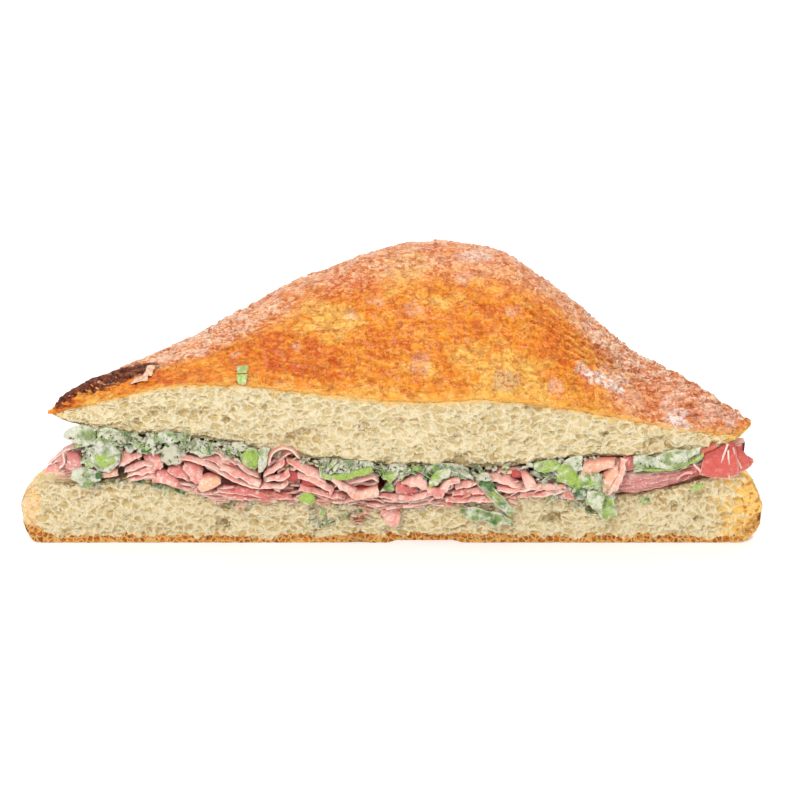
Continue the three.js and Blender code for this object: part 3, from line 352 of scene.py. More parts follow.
# Dabs of dressing: middle (x, y, z), half sizes across, out and up, and how green
DABS = [
    (-64, -2.2, 31.9, 3.4, 1.6, 3.4, 0.2), (-60.5, -1.2, 34, 2.4, 1.2, 1.7, 0.3),
    (-79.8, -1.6, 36.6, 2.6, 1.2, 1.6, 0.4), (27.1, -2.6, 24.2, 2.3, 1.1, 1.5, 0),
    (-15, -1, 26.6, 2.4, 1, 1.6, 0.5), (0.9, -1.4, 26.9, 1.8, 1, 1.2, 0.3),
    (-45, -1, 33.9, 2.8, 1, 1.6, 0.4), (-82.1, -1.4, 37.9, 2.4, 1.1, 1.3, 0.5),
]

# Places on the crust, as (x, y, radius, amount): baked darker, scorched, left pale, dusted with flour (some of
# these are painted whitish highlights), wrinkled and tanned
BAKED = [
    (-31, 13, 9, 0.8), (-39, 18, 8, 0.6), (-22, 11, 8, 0.6), (-15, 39, 8, 0.6), (-8, 41, 7, 0.5),
    (-98, 2, 6, 0.8), (47, 23, 7, 0.5), (52, 17, 5, 0.5), (63, 28, 6, 0.5), (23, 22, 7, 0.3),
    (-1, 19, 6, 0.25), (-58, 3, 9, 0.35), (-70, 6, 8, 0.4), (58, 13, 6, 0.3), (84, 8, 12, 0.35),
]
SCORCHED = [
    (-97, 3, 3.5, 0.7), (-94.5, 6.5, 4.5, 1.0), (-91, 9, 4.5, 1.1), (-86, 11.5, 5, 1.2), (-81, 14.5, 5, 1.2),
    (-76.5, 16, 4.5, 1.1), (-72, 17, 4, 0.7), (-88, 7, 3.5, 1.0), (-84, 10, 3.5, 0.9), (-79, 11, 3.5, 0.9),
]
PALE = [
    (-16, 26, 8, 1.2), (-21, 33, 6, 0.9), (-27, 23, 4, 0.5), (0, 45, 8, 0.7), (5, 53, 7, 0.7),
    (32, 9, 7, 0.6), (23, 14, 7, 0.5), (40, 5, 6, 0.8), (14, 34, 6, 0.4), (30, 4, 5, 0.5),
]
FLOUR_AND_HIGHLIGHTS = [
    (26, 59, 5, 0.8), (36, 28, 2.5, 0.35), (9, 11, 3, 0.3), (63, 13.4, 4.4, 1.5), (57, 14, 3, 0.6),
    (68, 17, 3, 0.7), (48, 6, 2.5, 0.4), (6, 30, 3, 0.3), (84, 3, 4, 1.1), (94, 6, 4, 0.4),
    (100, 3.5, 3, 0.5), (82, 10, 4, 0.4), (-28, 16, 1.6, 0.6), (-46, 15, 1.4, 0.5), (-57, 20, 2, 0.4),
    (71, 10, 5, 0.35), (22, 45, 3, 0.4), (-4, 33, 2.5, 0.3), (-12, 28, 2, 0.35),
]
WRINKLED = [(54, 20, 8, 0.9), (63, 22, 8, 1.0), (70, 19, 7, 0.8), (48, 28, 7, 0.7)]
TANNED = [(33, 5, 3.6, 1.0)]
BLISTER = (33, 5.5, 5, 4.5)  # middle (x, y) and half sizes of the broad blister

# Big bubbles of the cut crumb: middle (x, z), half width and half height
LID_BUBBLES = [
    (-68, 45.6, 3.4, 1.8), (-58.8, 45, 4.0, 1.7), (18.5, 36, 1.6, 1.3), (35.8, 34.8, 1.6, 1.3),
    (-48, 42.5, 1.8, 1.0), (-8, 40.5, 1.6, 1.1), (62, 38, 1.5, 1.0),
]
BASE_BUBBLES = [
    (-49, 13.3, 3.0, 1.7), (-51, 6.9, 2.0, 1.4), (60, 11.5, 2.3, 1.5), (72, 9.5, 2.0, 1.6),
    (84, 12, 2.2, 1.5), (92, 8, 1.8, 1.4), (47, 8, 1.7, 1.2), (-85, 12, 1.7, 1.0), (98, 18, 1.6, 1.2),
    (102, 14.5, 1.8, 1.2), (100, 9.5, 1.6, 1.1), (104, 19, 1.2, 0.9),
]


# Shapes shared by the pieces
def line_through(points):
    """A smooth line through points, flat beyond its ends."""
    p = np.array(points, float)
    near = np.clip(np.arange(len(p))[:, None] + [-1, 1], 0, len(p) - 1)
    slope = (p[near[:, 1], 1] - p[near[:, 0], 1]) / (p[near[:, 1], 0] - p[near[:, 0], 0])

    def at(x):
        x = np.asarray(x, float)
        i = np.clip(np.searchsorted(p[:, 0], x, side="right") - 1, 0, len(p) - 2)
        span = p[i + 1, 0] - p[i, 0]
        t = np.clip((x - p[i, 0]) / span, 0, 1)
        ease = t * t * (3 - 2 * t)
        bend = t * (1 - t) * span * (slope[i] * (1 - t) - slope[i + 1] * t)
        return p[i, 1] + (p[i + 1, 1] - p[i, 1]) * ease + bend
    return at


CUT = {name: line_through(points) for name, points in CUT_LINES.items()}


def mix(a, b, t):
    return a + (b - a) * t


def clamp01(t):
    return np.clip(t, 0.0, 1.0)


def smooth(t):
    t = clamp01(t)
    return t * t * (3 - 2 * t)


def noise(x, y, z=0.0):
    """Smooth noise from -1 to 1 over a lattice of seeded values."""
    x, y, z = np.broadcast_arrays(np.asarray(x, float), np.asarray(y, float), np.asarray(z, float))
    i, j, k = np.floor(x), np.floor(y), np.floor(z)
    u, v, w = smooth(x - i), smooth(y - j), smooth(z - k)

    def value(a, b, c):
        h = np.sin((i + a) * 127.1 + (j + b) * 311.7 + (k + c) * 74.7) * 43758.5453
        return 2 * (h - np.floor(h)) - 1

    def edge(b, c):
        return mix(value(0, b, c), value(1, b, c), u)
    return mix(mix(edge(0, 0), edge(1, 0), v), mix(edge(0, 1), edge(1, 1), v), w)


def depth_at(x, left, right, depth):
    """How deep the loaf is behind the cut face at x."""
    share = np.where(x < CORNER_X, (x - left) / (CORNER_X - left), (right - x) / (right - CORNER_X))
    return depth * (1 - (1 - clamp01(share)) ** CORNER_BEND) ** END_BEND


def base_depth(x):
    return depth_at(x, -BASE_HALF_LENGTH, BASE_HALF_LENGTH, BASE_DEPTH)


def lid_depth(x):
    return depth_at(x, LID_LEFT, LID_RIGHT, LID_DEPTH)


def inwards(x):
    """From 0 at the loaf's ends to 1 at its corner."""
    end = np.where(x < CORNER_X, -BASE_HALF_LENGTH, BASE_HALF_LENGTH)
    return np.sin(np.pi / 2 * clamp01((x - end) / (CORNER_X - end)))


def lid_rim(x):
    """Height of the lid's back rim."""
    return mix(np.where(x < CORNER_X, RIM_LEFT, RIM_RIGHT), RIM_CORNER, inwards(x))


def bed_at(x, y):
    return mix(CUT["bed"](x), mix(BED_BACK, BED_CORNER, inwards(x)), y / (base_depth(x) + PAST_CRUST))


def lid_under_at(x, y):
    front = CUT["lid_under"](x)
    return mix(front, np.maximum(lid_rim(x), front), y / (lid_depth(x) + PAST_CRUST))


def filling_depth(x):
    """How far back the filling reaches, a little unevenly."""
    return np.maximum(3.0, lid_depth(x) - FILLING_INSET + 1.5 * noise(x / 7, 3))


def carried(x, z, y):
    """Carries a point (x, z) of the cut face to the depth y, between the two breads."""
    height = (z - CUT["bed"](x)) / (CUT["lid_under"](x) - CUT["bed"](x))
    return np.stack(np.broadcast_arrays(x, y, mix(bed_at(x, y), lid_under_at(x, y), height)), -1)


def patches(places, x, y):
    """How strongly each point (x, y) of the crust is covered by round places with soft, uneven edges."""
    total = np.zeros_like(x)
    wander = 1 + 0.35 * noise(x / 3.1, y / 3.1, 4) + 0.25 * noise(x / 1.3, y / 1.3, 8)
    for px, py, radius, amount in places:
        near = np.hypot(x - px, y - py) / (radius * wander)
        total += amount * smooth(1.35 - near)
    return total


def stations(left, right, count):
    """Places from left to right, a little closer together towards both ends."""
    t = np.linspace(0, 1, count)
    return mix(left, right, mix(t, (1 - np.cos(np.pi * t)) / 2, CROWDING))


def tube_faces(sections, count, strip=False):
    """Faces of a closed solid through loops of points; a strip folded on itself is closed by bars."""
    s, i = np.meshgrid(np.arange(sections - 1), np.arange(count), indexing="ij")
    a, b = s * count + i, s * count + (i + 1) % count
    quads = np.stack([a, b, b + count, a + count], -1).reshape(-1, 4).tolist()
    last = (sections - 1) * count
    if strip:
        for j in range(count // 2 - 1):
            mate = count - 1 - j
            quads.append([j, mate, mate - 1, j + 1])
            quads.append([last + j, last + j + 1, last + mate - 1, last + mate])
    else:
        quads.append(list(range(count))[::-1])
        quads.append(list(range(last, last + count)))
    return quads


def volume_of(points, faces):
    """The volume inside closed faces, negative when they face inwards."""
    tris = np.array([(f[0], f[k], f[k + 1]) for f in faces for k in range(1, len(f) - 1)])
    a, b, c = points[tris[:, 0]], points[tris[:, 1]], points[tris[:, 2]]
    return np.einsum("ij,ij->i", a, np.cross(b, c)).sum() / 6


def new_object(name, data):
    obj = bpy.data.objects.new(name, data)
    bpy.context.scene.collection.objects.link(obj)
    return obj


def solid_piece(name, points, faces, values=None, material=None, local=False):
    """An object from points in millimetres, faces outwards, with named values at its points."""
    points = np.asarray(points, float).reshape(-1, 3)
    if volume_of(points - points.mean(0), faces) < 0:
        faces = [f[::-1] for f in faces]
    placed = points * MM if local else (points + [0, CUT_PLANE, 0]) * MM
    mesh = bpy.data.meshes.new(name)
    mesh.from_pydata(placed.tolist(), [], faces, shade_flat=False)
    for key, value in (values or {}).items():
        layer = mesh.attributes.new(key, "FLOAT", "POINT")
        flat = np.ascontiguousarray(np.broadcast_to(value, points.shape[:1]) if np.ndim(value) == 0
                                    else np.ravel(value), dtype=np.float32)
        layer.data.foreach_set("value", flat)
    if material:
        mesh.materials.append(material)
    return new_object(name, mesh)


def many(parts):
    """Joins (points, faces, values) parts into one set."""
    points, faces, start = [], [], 0
    keys = sorted({key for part in parts for key in part[2]})
    values = {key: [] for key in keys}
    for pts, fcs, vals in parts:
        pts = np.asarray(pts, float).reshape(-1, 3)
        if volume_of(pts - pts.mean(0), fcs) < 0:
            fcs = [f[::-1] for f in fcs]
        faces += [[v + start for v in f] for f in fcs]
        start += len(pts)
        points.append(pts)
        for key in keys:
            values[key].append(np.broadcast_to(vals.get(key, 0.0), len(pts)))
    return np.concatenate(points), faces, {key: np.concatenate(v) for key, v in values.items()}


def finish_piece(obj, slot, *nodes):
    """Rides on the sandwich and stands for its solids; the slot is not used."""
    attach(obj, "root")
    if nodes:
        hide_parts(*nodes)


def add_piece(name, made, material, slot, *nodes):
    """A finished piece from its (points, faces, values)."""
    finish_piece(solid_piece(name, *made, material), slot, *nodes)


# Node trees
class Graph:
    """Puts nodes in a tree and joins them; a value is a number, a colour or another node's socket."""

    def __init__(self, tree):
        self.tree = tree

    def put(self, socket, value):
        if isinstance(value, bpy.types.NodeSocket):
            self.tree.links.new(value, socket)
        else:
            socket.default_value = value

    def node(self, kind, inputs=(), **settings):
        made = self.tree.nodes.new(kind)
        for key, value in settings.items():
            setattr(made, key, value)
        for key, value in dict(inputs).items():
            self.put(made.inputs[key], value)
        return made

    def math(self, operation, *values):
        made = self.node("ShaderNodeMath", operation=operation)
        for socket, value in zip(made.inputs, values):
            self.put(socket, value)
        return made.outputs[0]

    def plus(self, a, b):
        return self.math("ADD", a, b)

    def minus(self, a, b):
        return self.math("SUBTRACT", a, b)

    def times(self, a, b):
        return self.math("MULTIPLY", a, b)

    def swing(self, share, amount):
        """Turns a share from 0 to 1 into a push to both sides."""
        return self.times(self.minus(share, 0.5), amount)

    def part(self, vector, axis):
        return self.node("ShaderNodeSeparateXYZ", {"Vector": vector}).outputs[axis]

    def vector(self, operation, *values, out=0):
        made = self.node("ShaderNodeVectorMath", operation=operation)
        for socket, value in zip(made.inputs, values):
            self.put(socket, value)
        return made.outputs[out]

    def scaled(self, vector, factor):
        made = self.node("ShaderNodeVectorMath", {"Scale": factor}, operation="SCALE")
        self.put(made.inputs[0], vector)
        return made.outputs[0]

    def fade(self, value, low, high, to_low=0.0, to_high=1.0):
        made = self.node("ShaderNodeMapRange", interpolation_type="SMOOTHSTEP")
        for index, v in enumerate((value, low, high, to_low, to_high)):
            self.put(made.inputs[index], v)
        return made.outputs[0]

    def noise(self, vector, scale, detail=2.0, rough=0.5, colour=False):
        made = self.node("ShaderNodeTexNoise", {"Vector": vector, "Scale": scale, "Detail": detail,
                                                "Roughness": rough})
        return made.outputs["Color" if colour else "Fac"]

    def cells(self, vector, scale, feature="F1", smoothness=None):
        made = self.node("ShaderNodeTexVoronoi", {"Vector": vector, "Scale": scale}, feature=feature)
        if smoothness is not None:
            made.inputs["Smoothness"].default_value = smoothness
        return made

    def blend(self, factor, a, b):
        """The colour a, covered by the colour b as far as the factor says."""
        made = self.node("ShaderNodeMix", data_type="RGBA")
        for index, value in ((0, factor), (6, opaque(a)), (7, opaque(b))):
            self.put(made.inputs[index], value)
        return made.outputs[2]

    def storing(self, geometry, values):
        """The geometry with named values kept at its points."""
        for label, value in values.items():
            geometry = self.node("GeometryNodeStoreNamedAttribute",
                                 {"Geometry": geometry, "Name": label, "Value": value},
                                 data_type="FLOAT", domain="POINT").outputs[0]
        return geometry

    def slant(self, place, found, scale, level=0.5):
        """How far each place stands up on the slanted top of its cell."""
        lean = self.vector("SUBTRACT", found.outputs["Color"], (0.5, 0.5, level))
        middle = self.scaled(found.outputs["Position"], scale)
        local = self.vector("SUBTRACT", self.scaled(place, scale), middle)
        return self.vector("DOT_PRODUCT", local, lean, out=1)

    def wandered(self, vector, scale, amount):
        """The vector, pushed about by noise."""
        push = self.vector("SUBTRACT", self.noise(vector, scale, 1.0, colour=True), (0.5, 0.5, 0.5))
        return self.vector("ADD", vector, self.scaled(push, amount))


def colour(code):
    """A colour written as red, green and blue pairs, as light values."""
    parts = [int(code[i:i + 2], 16) / 255 for i in (0, 2, 4)]
    return tuple(p / 12.92 if p <= 0.04045 else ((p + 0.055) / 1.055) ** 2.4 for p in parts)


def opaque(values):
    """A colour with full cover; a socket or a share stays as it is."""
    if isinstance(values, (float, bpy.types.NodeSocket)):
        return values
    return (*values[:3], 1.0)


def new_material(name):
    """A material, its graph and shader, and each point's place in millimetres."""
    material = bpy.data.materials.new(name)
    material.use_nodes = True
    graph = Graph(material.node_tree)
    shader = material.node_tree.nodes["Principled BSDF"]
    place = graph.node("ShaderNodeTexCoord").outputs["Object"]
    return material, graph, shader, graph.scaled(place, 1 / MM)


def value_of(graph, name):
    """A value kept at the mesh's points, for a material."""
    return graph.node("ShaderNodeAttribute", attribute_name=name).outputs["Fac"]


def surfaced(graph, shader, tone, roughness, fixed):
    """Gives the shader its colour and roughness; the fixed values are set on its own sockets."""
    graph.put(shader.inputs["Base Color"], tone)
    graph.put(shader.inputs["Roughness"], roughness)
    for name, value in fixed.items():
        shader.inputs[name].default_value = value


def soft(weight, radius, reach):
    """Light that goes through soft food: how much, how far each colour goes and the reach in millimetres."""
    return {"Subsurface Weight": weight, "Subsurface Radius": radius, "Subsurface Scale": reach * MM}


def bumped(graph, shader, height, distance, strength):
    made = graph.node("ShaderNodeBump", {"Height": height, "Distance": distance * MM, "Strength": strength})
    graph.put(shader.inputs["Normal"], made.outputs[0])


def shape_tree(name, *numbers, **others):
    """An empty tree with a geometry in and out, named number inputs, other named inputs and a material."""
    tree = bpy.data.node_groups.new(name, "GeometryNodeTree")
    tree.interface.new_socket("Geometry", in_out="INPUT", socket_type="NodeSocketGeometry")
    for label, kind in {**others, **dict.fromkeys(numbers, "Float"), "Material": "Material"}.items():
        tree.interface.new_socket(label, in_out="INPUT", socket_type="NodeSocket" + kind)
    tree.interface.new_socket("Geometry", in_out="OUTPUT", socket_type="NodeSocketGeometry")
    graph = Graph(tree)
    return tree, graph, graph.node("NodeGroupInput").outputs, graph.node("NodeGroupOutput").inputs[0]


def stored(graph, name, kind="FLOAT"):
    """A value kept at the points, for a geometry tree."""
    return graph.node("GeometryNodeInputNamedAttribute", {"Name": name}, data_type=kind).outputs[0]


def close_tree(graph, geometry, material, out):
    """Makes copies real, gives them the material and ends the tree."""
    real = graph.node("GeometryNodeRealizeInstances", {"Geometry": geometry}).outputs[0]
    graph.put(out, graph.node("GeometryNodeSetMaterial", {"Geometry": real, "Material": material}).outputs[0])


def grow(obj, tree, **values):
    """Applies a tree to a piece and keeps the result as its plain mesh."""
    modifier = obj.modifiers.new("shape", "NODES")
    modifier.node_group = tree
    for item in tree.interface.items_tree:
        name = item.name.replace(" ", "_").lower()
        if item.item_type == "SOCKET" and item.in_out == "INPUT" and name in values:
            modifier[item.identifier] = values[name]
    graph = bpy.context.evaluated_depsgraph_get()
    mesh = bpy.data.meshes.new_from_object(obj.evaluated_get(graph), depsgraph=graph)
    obj.modifiers.clear()
    plain = obj.data
    obj.data = mesh
    bpy.data.meshes.remove(plain)
    mesh.name = obj.name


# Bread
def crumb_tree():
    """Opens pores in the crumb: a fine web of cells, with bubbles of two sizes among them."""
    tree, g, given, out = shape_tree("pores of the crumb", "Cell Size", "Bubble Size", "Depth", "Width", "Seed")
    place = g.scaled(g.node("GeometryNodeInputPosition").outputs[0], 1 / MM)
    apart = g.node("ShaderNodeCombineXYZ", dict.fromkeys("XYZ", given["Seed"])).outputs[0]
    place = g.vector("ADD", place, apart)
    squeeze = g.node("ShaderNodeCombineXYZ", {"X": g.math("DIVIDE", 1.0, given["Width"]), "Y": 1.0, "Z": 1.15})
    warped = g.wandered(g.wandered(g.wandered(place, 0.23, 3.2), 0.8, 1.3), 2.2, 0.35)
    warped = g.vector("MULTIPLY", warped, squeeze.outputs[0])
    size = given["Cell Size"]
    vary = g.fade(g.noise(place, 0.35, 2.0), 0.34, 0.66, 0.45, 1.1)
    web, ridge = None, None
    for factor, thin, deep in ((1.0, 0.2, 0.42), (0.52, 0.26, 0.24)):
        found = g.cells(warped, g.math("DIVIDE", 1.0, g.times(size, factor)), "DISTANCE_TO_EDGE")
        open_cell = g.fade(found.outputs["Distance"], 0.0, thin)
        sunk = g.times(open_cell, g.times(size, deep * 0.75))
        strand = g.minus(1.0, open_cell)
        web = sunk if web is None else g.plus(web, sunk)
        ridge = strand if ridge is None else g.math("MULTIPLY_ADD", strand, 0.5, ridge)
    web = g.times(web, vary)
    hollows = 0.0
    for factor, rarity, share in ((1.0, 1.6, 0.5), (2.1, 4.0, 0.52)):
        bubble = g.times(given["Bubble Size"], factor)
        found = g.cells(warped, g.math("DIVIDE", 1.0, bubble))
        luck = g.part(found.outputs["Color"], 0)
        radius = g.times(g.math("POWER", luck, rarity), share)
        room = g.minus(g.math("POWER", radius, 2.0), g.math("POWER", found.outputs["Distance"], 2.0))
        hollow = g.times(g.math("SQRT", g.math("MAXIMUM", room, 0.0)), bubble)
        hollows = g.math("MAXIMUM", hollows, g.times(hollow, 0.62))
    pit = g.math("MINIMUM", g.times(g.plus(web, hollows), given["Depth"]), DEEPEST_PORE)
    rough = g.swing(g.noise(place, 1.8, 3.0), 0.3)
    mask = stored(g, "crumb")
    sink = g.times(g.plus(pit, g.minus(rough, 0.35)), mask)
    push = g.scaled(g.node("GeometryNodeInputNormal").outputs[0], g.times(sink, -MM))
    kept = g.node("GeometryNodeSetPosition", {"Geometry": given["Geometry"], "Offset": push}).outputs[0]
    # The pit depth and the ridges are kept for the crumb material, which paints shade into the pits and
    # highlight onto the ridges.
    kept = g.storing(kept, {"pit": g.times(pit, mask), "ridge": g.times(ridge, mask)})
    close_tree(g, kept, given["Material"], out)
    return tree


def crust_tree():
    """Raises tilted flakes, blisters and wrinkles on the crust, with creases between them."""
    tree, g, given, out = shape_tree("flakes of the crust", "Flake Size", "Flake Height", "Blister Height",
                                     "Seed")
    place = g.scaled(g.node("GeometryNodeInputPosition").outputs[0], 1 / MM)
    place = g.vector("ADD", place, g.node("ShaderNodeCombineXYZ", {"X": given["Seed"]}).outputs[0])
    warped = g.wandered(g.wandered(place, 0.16, 3.0), 0.7, 1.0)
    drawn = g.vector("MULTIPLY", warped, (0.62, 1.0, 1.0))
    height, crease, tone = None, None, None
    for factor, weight in ((1.0, 1.0), (0.45, 0.5)):
        size = g.times(given["Flake Size"], factor)
        scale = g.math("DIVIDE", 1.0, size)
        found = g.cells(drawn, scale)
        tilt = g.times(g.slant(drawn, found, scale), 3.0)
        step = g.times(g.part(found.outputs["Color"], 2), 0.55)
        edge = g.cells(drawn, scale, "DISTANCE_TO_EDGE").outputs["Distance"]
        gap = g.fade(edge, 0.0, 0.13, 1.0, 0.0)
        flake = g.times(g.minus(g.plus(tilt, step), g.times(gap, 0.5)), weight)
        gap = g.times(gap, weight)
        height = flake if height is None else g.plus(height, flake)
        crease = gap if crease is None else g.math("MAXIMUM", crease, gap)
        tone = step if tone is None else g.plus(tone, g.times(step, 0.7))
    height = g.times(height, given["Flake Height"])
    swell = g.cells(g.wandered(place, 0.3, 1.5), 0.21, "SMOOTH_F1", 0.6).outputs["Distance"]
    blister = g.times(g.fade(swell, 0.15, 0.7, 1.0, 0.0), given["Blister Height"])
    patchy = g.fade(g.noise(place, 0.09, 1.0), 0.4, 0.6)
    wave = g.noise(g.vector("MULTIPLY", g.wandered(place, 0.1, 4.0), (0.35, 1.2, 1.0)), 0.4, 2.0)
    wrinkle = g.times(g.math("ABSOLUTE", g.minus(wave, 0.5)), -2.2)
    height = g.plus(height, g.times(blister, patchy))
    height = g.plus(height, g.times(wrinkle, given["Blister Height"]))
    height = g.minus(height, g.times(given["Blister Height"], 0.6))
    mask = stored(g, "outer")
    push = g.scaled(g.node("GeometryNodeInputNormal").outputs[0], g.times(g.times(height, mask), MM))
    kept = g.node("GeometryNodeSetPosition", {"Geometry": given["Geometry"], "Offset": push}).outputs[0]
    # The crease mask marks the gaps between the flakes; the crust material paints shade into them.
    close_tree(g, g.storing(kept, {"crease": crease, "tone": tone}), given["Material"], out)
    return tree


def crumb_material(finish, name="bread crumb"):
    material, g, shader, place = new_material(name)
    pit, crust, moist = value_of(g, "pit"), value_of(g, "crust"), value_of(g, "moist")
    ridge = value_of(g, "ridge")
    hue = g.noise(place, 0.12, 2.0)
    wall = g.blend(g.fade(hue, 0.35, 0.65), finish.crumb, finish.crumb_shade)
    # Painted shade: the crumb is painted darker the deeper its pits go.
    wall = g.blend(g.fade(pit, 0.35, 1.7), wall, finish.pore_and_shade)
    speck = g.noise(place, 2.4, 3.0, 0.6)
    wall = g.blend(g.fade(speck, 0.58, 0.8, 0.0, 0.5), wall, finish.pore_and_shade)
    wall = g.blend(g.times(moist, 0.8), wall, finish.moist_crumb)
    honey = g.fade(g.part(place, 0), *HONEY_CRUMB, 0.0, 0.7)
    wall = g.blend(honey, wall, finish.honey_rind)
    # Painted highlight: the thin walls between the cells are painted lighter.
    wall = g.blend(g.fade(ridge, 0.25, 1.1, 0.0, 0.8), wall, finish.strand)
    browned = g.noise(g.wandered(place, 0.9, 0.8), 0.75, 3.0, 0.6)
    bottom = g.blend(g.fade(browned, 0.36, 0.62), finish.bottom_pale, finish.bottom_brown)
    lace = g.cells(g.wandered(place, 0.9, 0.9), 0.6, "DISTANCE_TO_EDGE").outputs["Distance"]
    bottom = g.blend(g.fade(lace, 0.03, 0.2, 0.7, 0.0), bottom, finish.bottom_lace)
    rind = g.blend(g.fade(browned, 0.45, 0.7, 0.0, 0.5), finish.rind, finish.bottom_pale)
    right = g.fade(g.part(place, 0), *HONEY_RIND, 0.0, 0.7)
    rind = g.blend(right, rind, finish.honey_rind)
    holes = g.cells(g.wandered(place, 0.6, 0.8), 0.55).outputs["Distance"]
    holes = g.times(g.fade(holes, 0.26, 0.44, 1.3, 0.0), right)
    rind = g.blend(g.fade(ridge, 0.25, 1.1, 0.0, 0.6), rind, finish.bottom_lace)
    # The rind's holes take the pale bottom-crust colour, and its pits are painted darker as shade.
    rind = g.blend(g.plus(holes, g.fade(pit, 0.25, 1.2, 0.0, 0.5)), rind, finish.bottom_pale)
    bottom = g.blend(g.fade(value_of(g, "bake"), 0.1, 0.8), rind, bottom)
    shell = g.fade(g.plus(crust, g.swing(speck, 0.9)), 0.35, 0.75)
    surfaced(g, shader, g.blend(shell, wall, bottom), g.fade(speck, 0.3, 0.7, 0.4, 0.7),
             {"Specular IOR Level": 0.3, **soft(0.25, (1.0, 0.6, 0.3), 0.7)})
    foam = g.cells(g.wandered(place, 1.5, 0.5), 1.1, "DISTANCE_TO_EDGE").outputs["Distance"]
    height = g.plus(g.fade(foam, 0.0, 0.3, 0.6, 0.0), g.times(speck, 0.7))
    height = g.minus(height, g.times(holes, g.times(crust, 1.5)))
    bumped(g, shader, height, 0.4, 0.7)
    return material


def crust_material(finish):
    material, g, shader, place = new_material("baked crust")
    bake, flour, rim = value_of(g, "bake"), value_of(g, "flour"), value_of(g, "rim")
    crease, step, rosy = value_of(g, "crease"), value_of(g, "tone"), value_of(g, "rosy")
    mottle = g.noise(g.wandered(place, 0.2, 3.0), 0.16, 4.0, 0.62)
    fine = g.noise(g.wandered(place, 0.9, 1.2), 1.0, 4.0, 0.7)
    drawn = g.vector("MULTIPLY", g.wandered(place, 0.8, 1.3), (0.6, 1.0, 1.0))
    chips = [g.cells(drawn, scale) for scale in (0.95, 1.9)]
    heat = g.plus(bake, g.swing(mottle, 2.2))
    heat = g.plus(heat, g.swing(fine, 0.9))
    heat = g.plus(heat, g.times(g.minus(step, 0.46), -0.35))
    tone = g.blend(g.fade(heat, -0.25, 0.4), finish.crust_pale, finish.crust_gold)
    tone = g.blend(g.fade(heat, 0.3, 1.0), tone, finish.crust_deep)
    # Rosy tone with a painted sheen on the upper slopes.
    tone = g.blend(g.times(rosy, g.fade(fine, 0.3, 0.6, 0.9, 0.5)), tone, finish.crust_rosy)
    # Painted shade: the gaps between the flakes are darkened.
    tone = g.blend(g.times(crease, 0.5), tone, finish.crust_crease)
    flaky = g.math("MULTIPLY_ADD", rosy, 0.6, 0.38)
    # The pale flake colours: the flakes' own pale tone, also painted below as highlight on the flakes' raised
    # sides.
    light = g.blend(g.fade(rosy, 0.15, 0.75), finish.crust_glint, finish.crust_flake)
    tone = g.blend(g.times(g.fade(step, 0.42, 0.8, 0.0, 0.75), flaky), tone, light)
    for chip, share in zip(chips, (0.5, 0.4)):
        luck = g.part(chip.outputs["Color"], 1)
        pale = g.times(g.fade(luck, 0.66, 0.88, 0.0, share), flaky)
        tone = g.blend(pale, tone, light)
        tone = g.blend(g.fade(luck, 0.0, 0.22, share * 0.6, 0.0), tone, finish.crust_crease)
    # Painted highlight and shade: each flake is painted pale on its raised side and dark on its sunken side, as
    # if lit from one side.
    for scale, share in ((0.42, 0.9), (0.8, 0.9)):
        squiggle = g.vector("MULTIPLY", g.wandered(g.wandered(place, 0.4, 2.5), 1.3, 0.9), (0.6, 1.0, 1.0))
        raised = g.slant(squiggle, g.cells(squiggle, scale), scale, 0.35)
        shown = g.fade(g.noise(place, scale * 0.4, 2.0), 0.38, 0.6, 0.25, share)
        pale = g.times(g.times(g.fade(raised, 0.05, 0.11), shown), flaky)
        tone = g.blend(pale, tone, light)
        dark = g.times(g.fade(raised, -0.15, -0.07, 0.5, 0.0), shown)
        tone = g.blend(dark, tone, finish.crust_crease)
    tanned = g.blend(g.fade(fine, 0.5, 0.62), finish.crust_tan, finish.crust_crease)
    tone = g.blend(g.fade(value_of(g, "tan"), 0.15, 0.6, 0.0, 0.8), tone, tanned)
    char = g.plus(value_of(g, "char"), g.swing(fine, 1.2))
    scorched = g.blend(g.fade(fine, 0.42, 0.62), finish.crust_dark, finish.crust_brown)
    scorched = g.blend(g.fade(step, 0.55, 0.9, 0.0, 0.35), scorched, finish.crust_sheen)
    tone = g.blend(g.fade(char, 0.2, 0.9, 0.0, 0.95), tone, scorched)
    rim = g.times(rim, g.fade(fine, 0.38, 0.6, 0.3, 0.9))
    tone = g.blend(rim, tone, finish.crust_rim)
    # Whitish places: dusted flour, and some painted highlights.
    dust_and_highlight = g.times(flour, g.fade(g.noise(place, 0.8, 4.0, 0.7), 0.36, 0.6))
    tone = g.blend(g.math("MINIMUM", dust_and_highlight, 0.92), tone, finish.flour)
    surfaced(g, shader, tone, g.fade(g.noise(place, 0.9, 3.0), 0.35, 0.65, 0.2, 0.5),
             {"Specular IOR Level": 0.2, "Coat Weight": 0.16, "Coat Roughness": 0.16})
    height = g.times(g.noise(place, 3.5, 3.0, 0.6), 0.5)
    for chip, scale, share in zip(chips, (0.95, 1.9), (1.0, 0.55)):
        height = g.plus(height, g.times(g.slant(drawn, chip, scale), 2.2 * share))
        height = g.plus(height, g.times(chip.outputs["Distance"], -0.9 * share))
    bumped(g, shader, height, 0.5, 0.8)
    return material


def bubbles_at(named, x, z):
    """How deep the named bubbles are at points of the cut face."""
    deep = np.zeros_like(x)
    wobble = 1 + 0.22 * noise(x / 1.1, z / 0.9, 5)
    for bx, bz, wide, tall in named:
        near = (((x - bx) / wide) ** 2 + ((z - bz) / tall) ** 2) * wobble
        deep = np.maximum(deep, 1.7 * np.sqrt(np.maximum(0, 1 - near)) * min(1.0, tall / 1.4))
    return deep


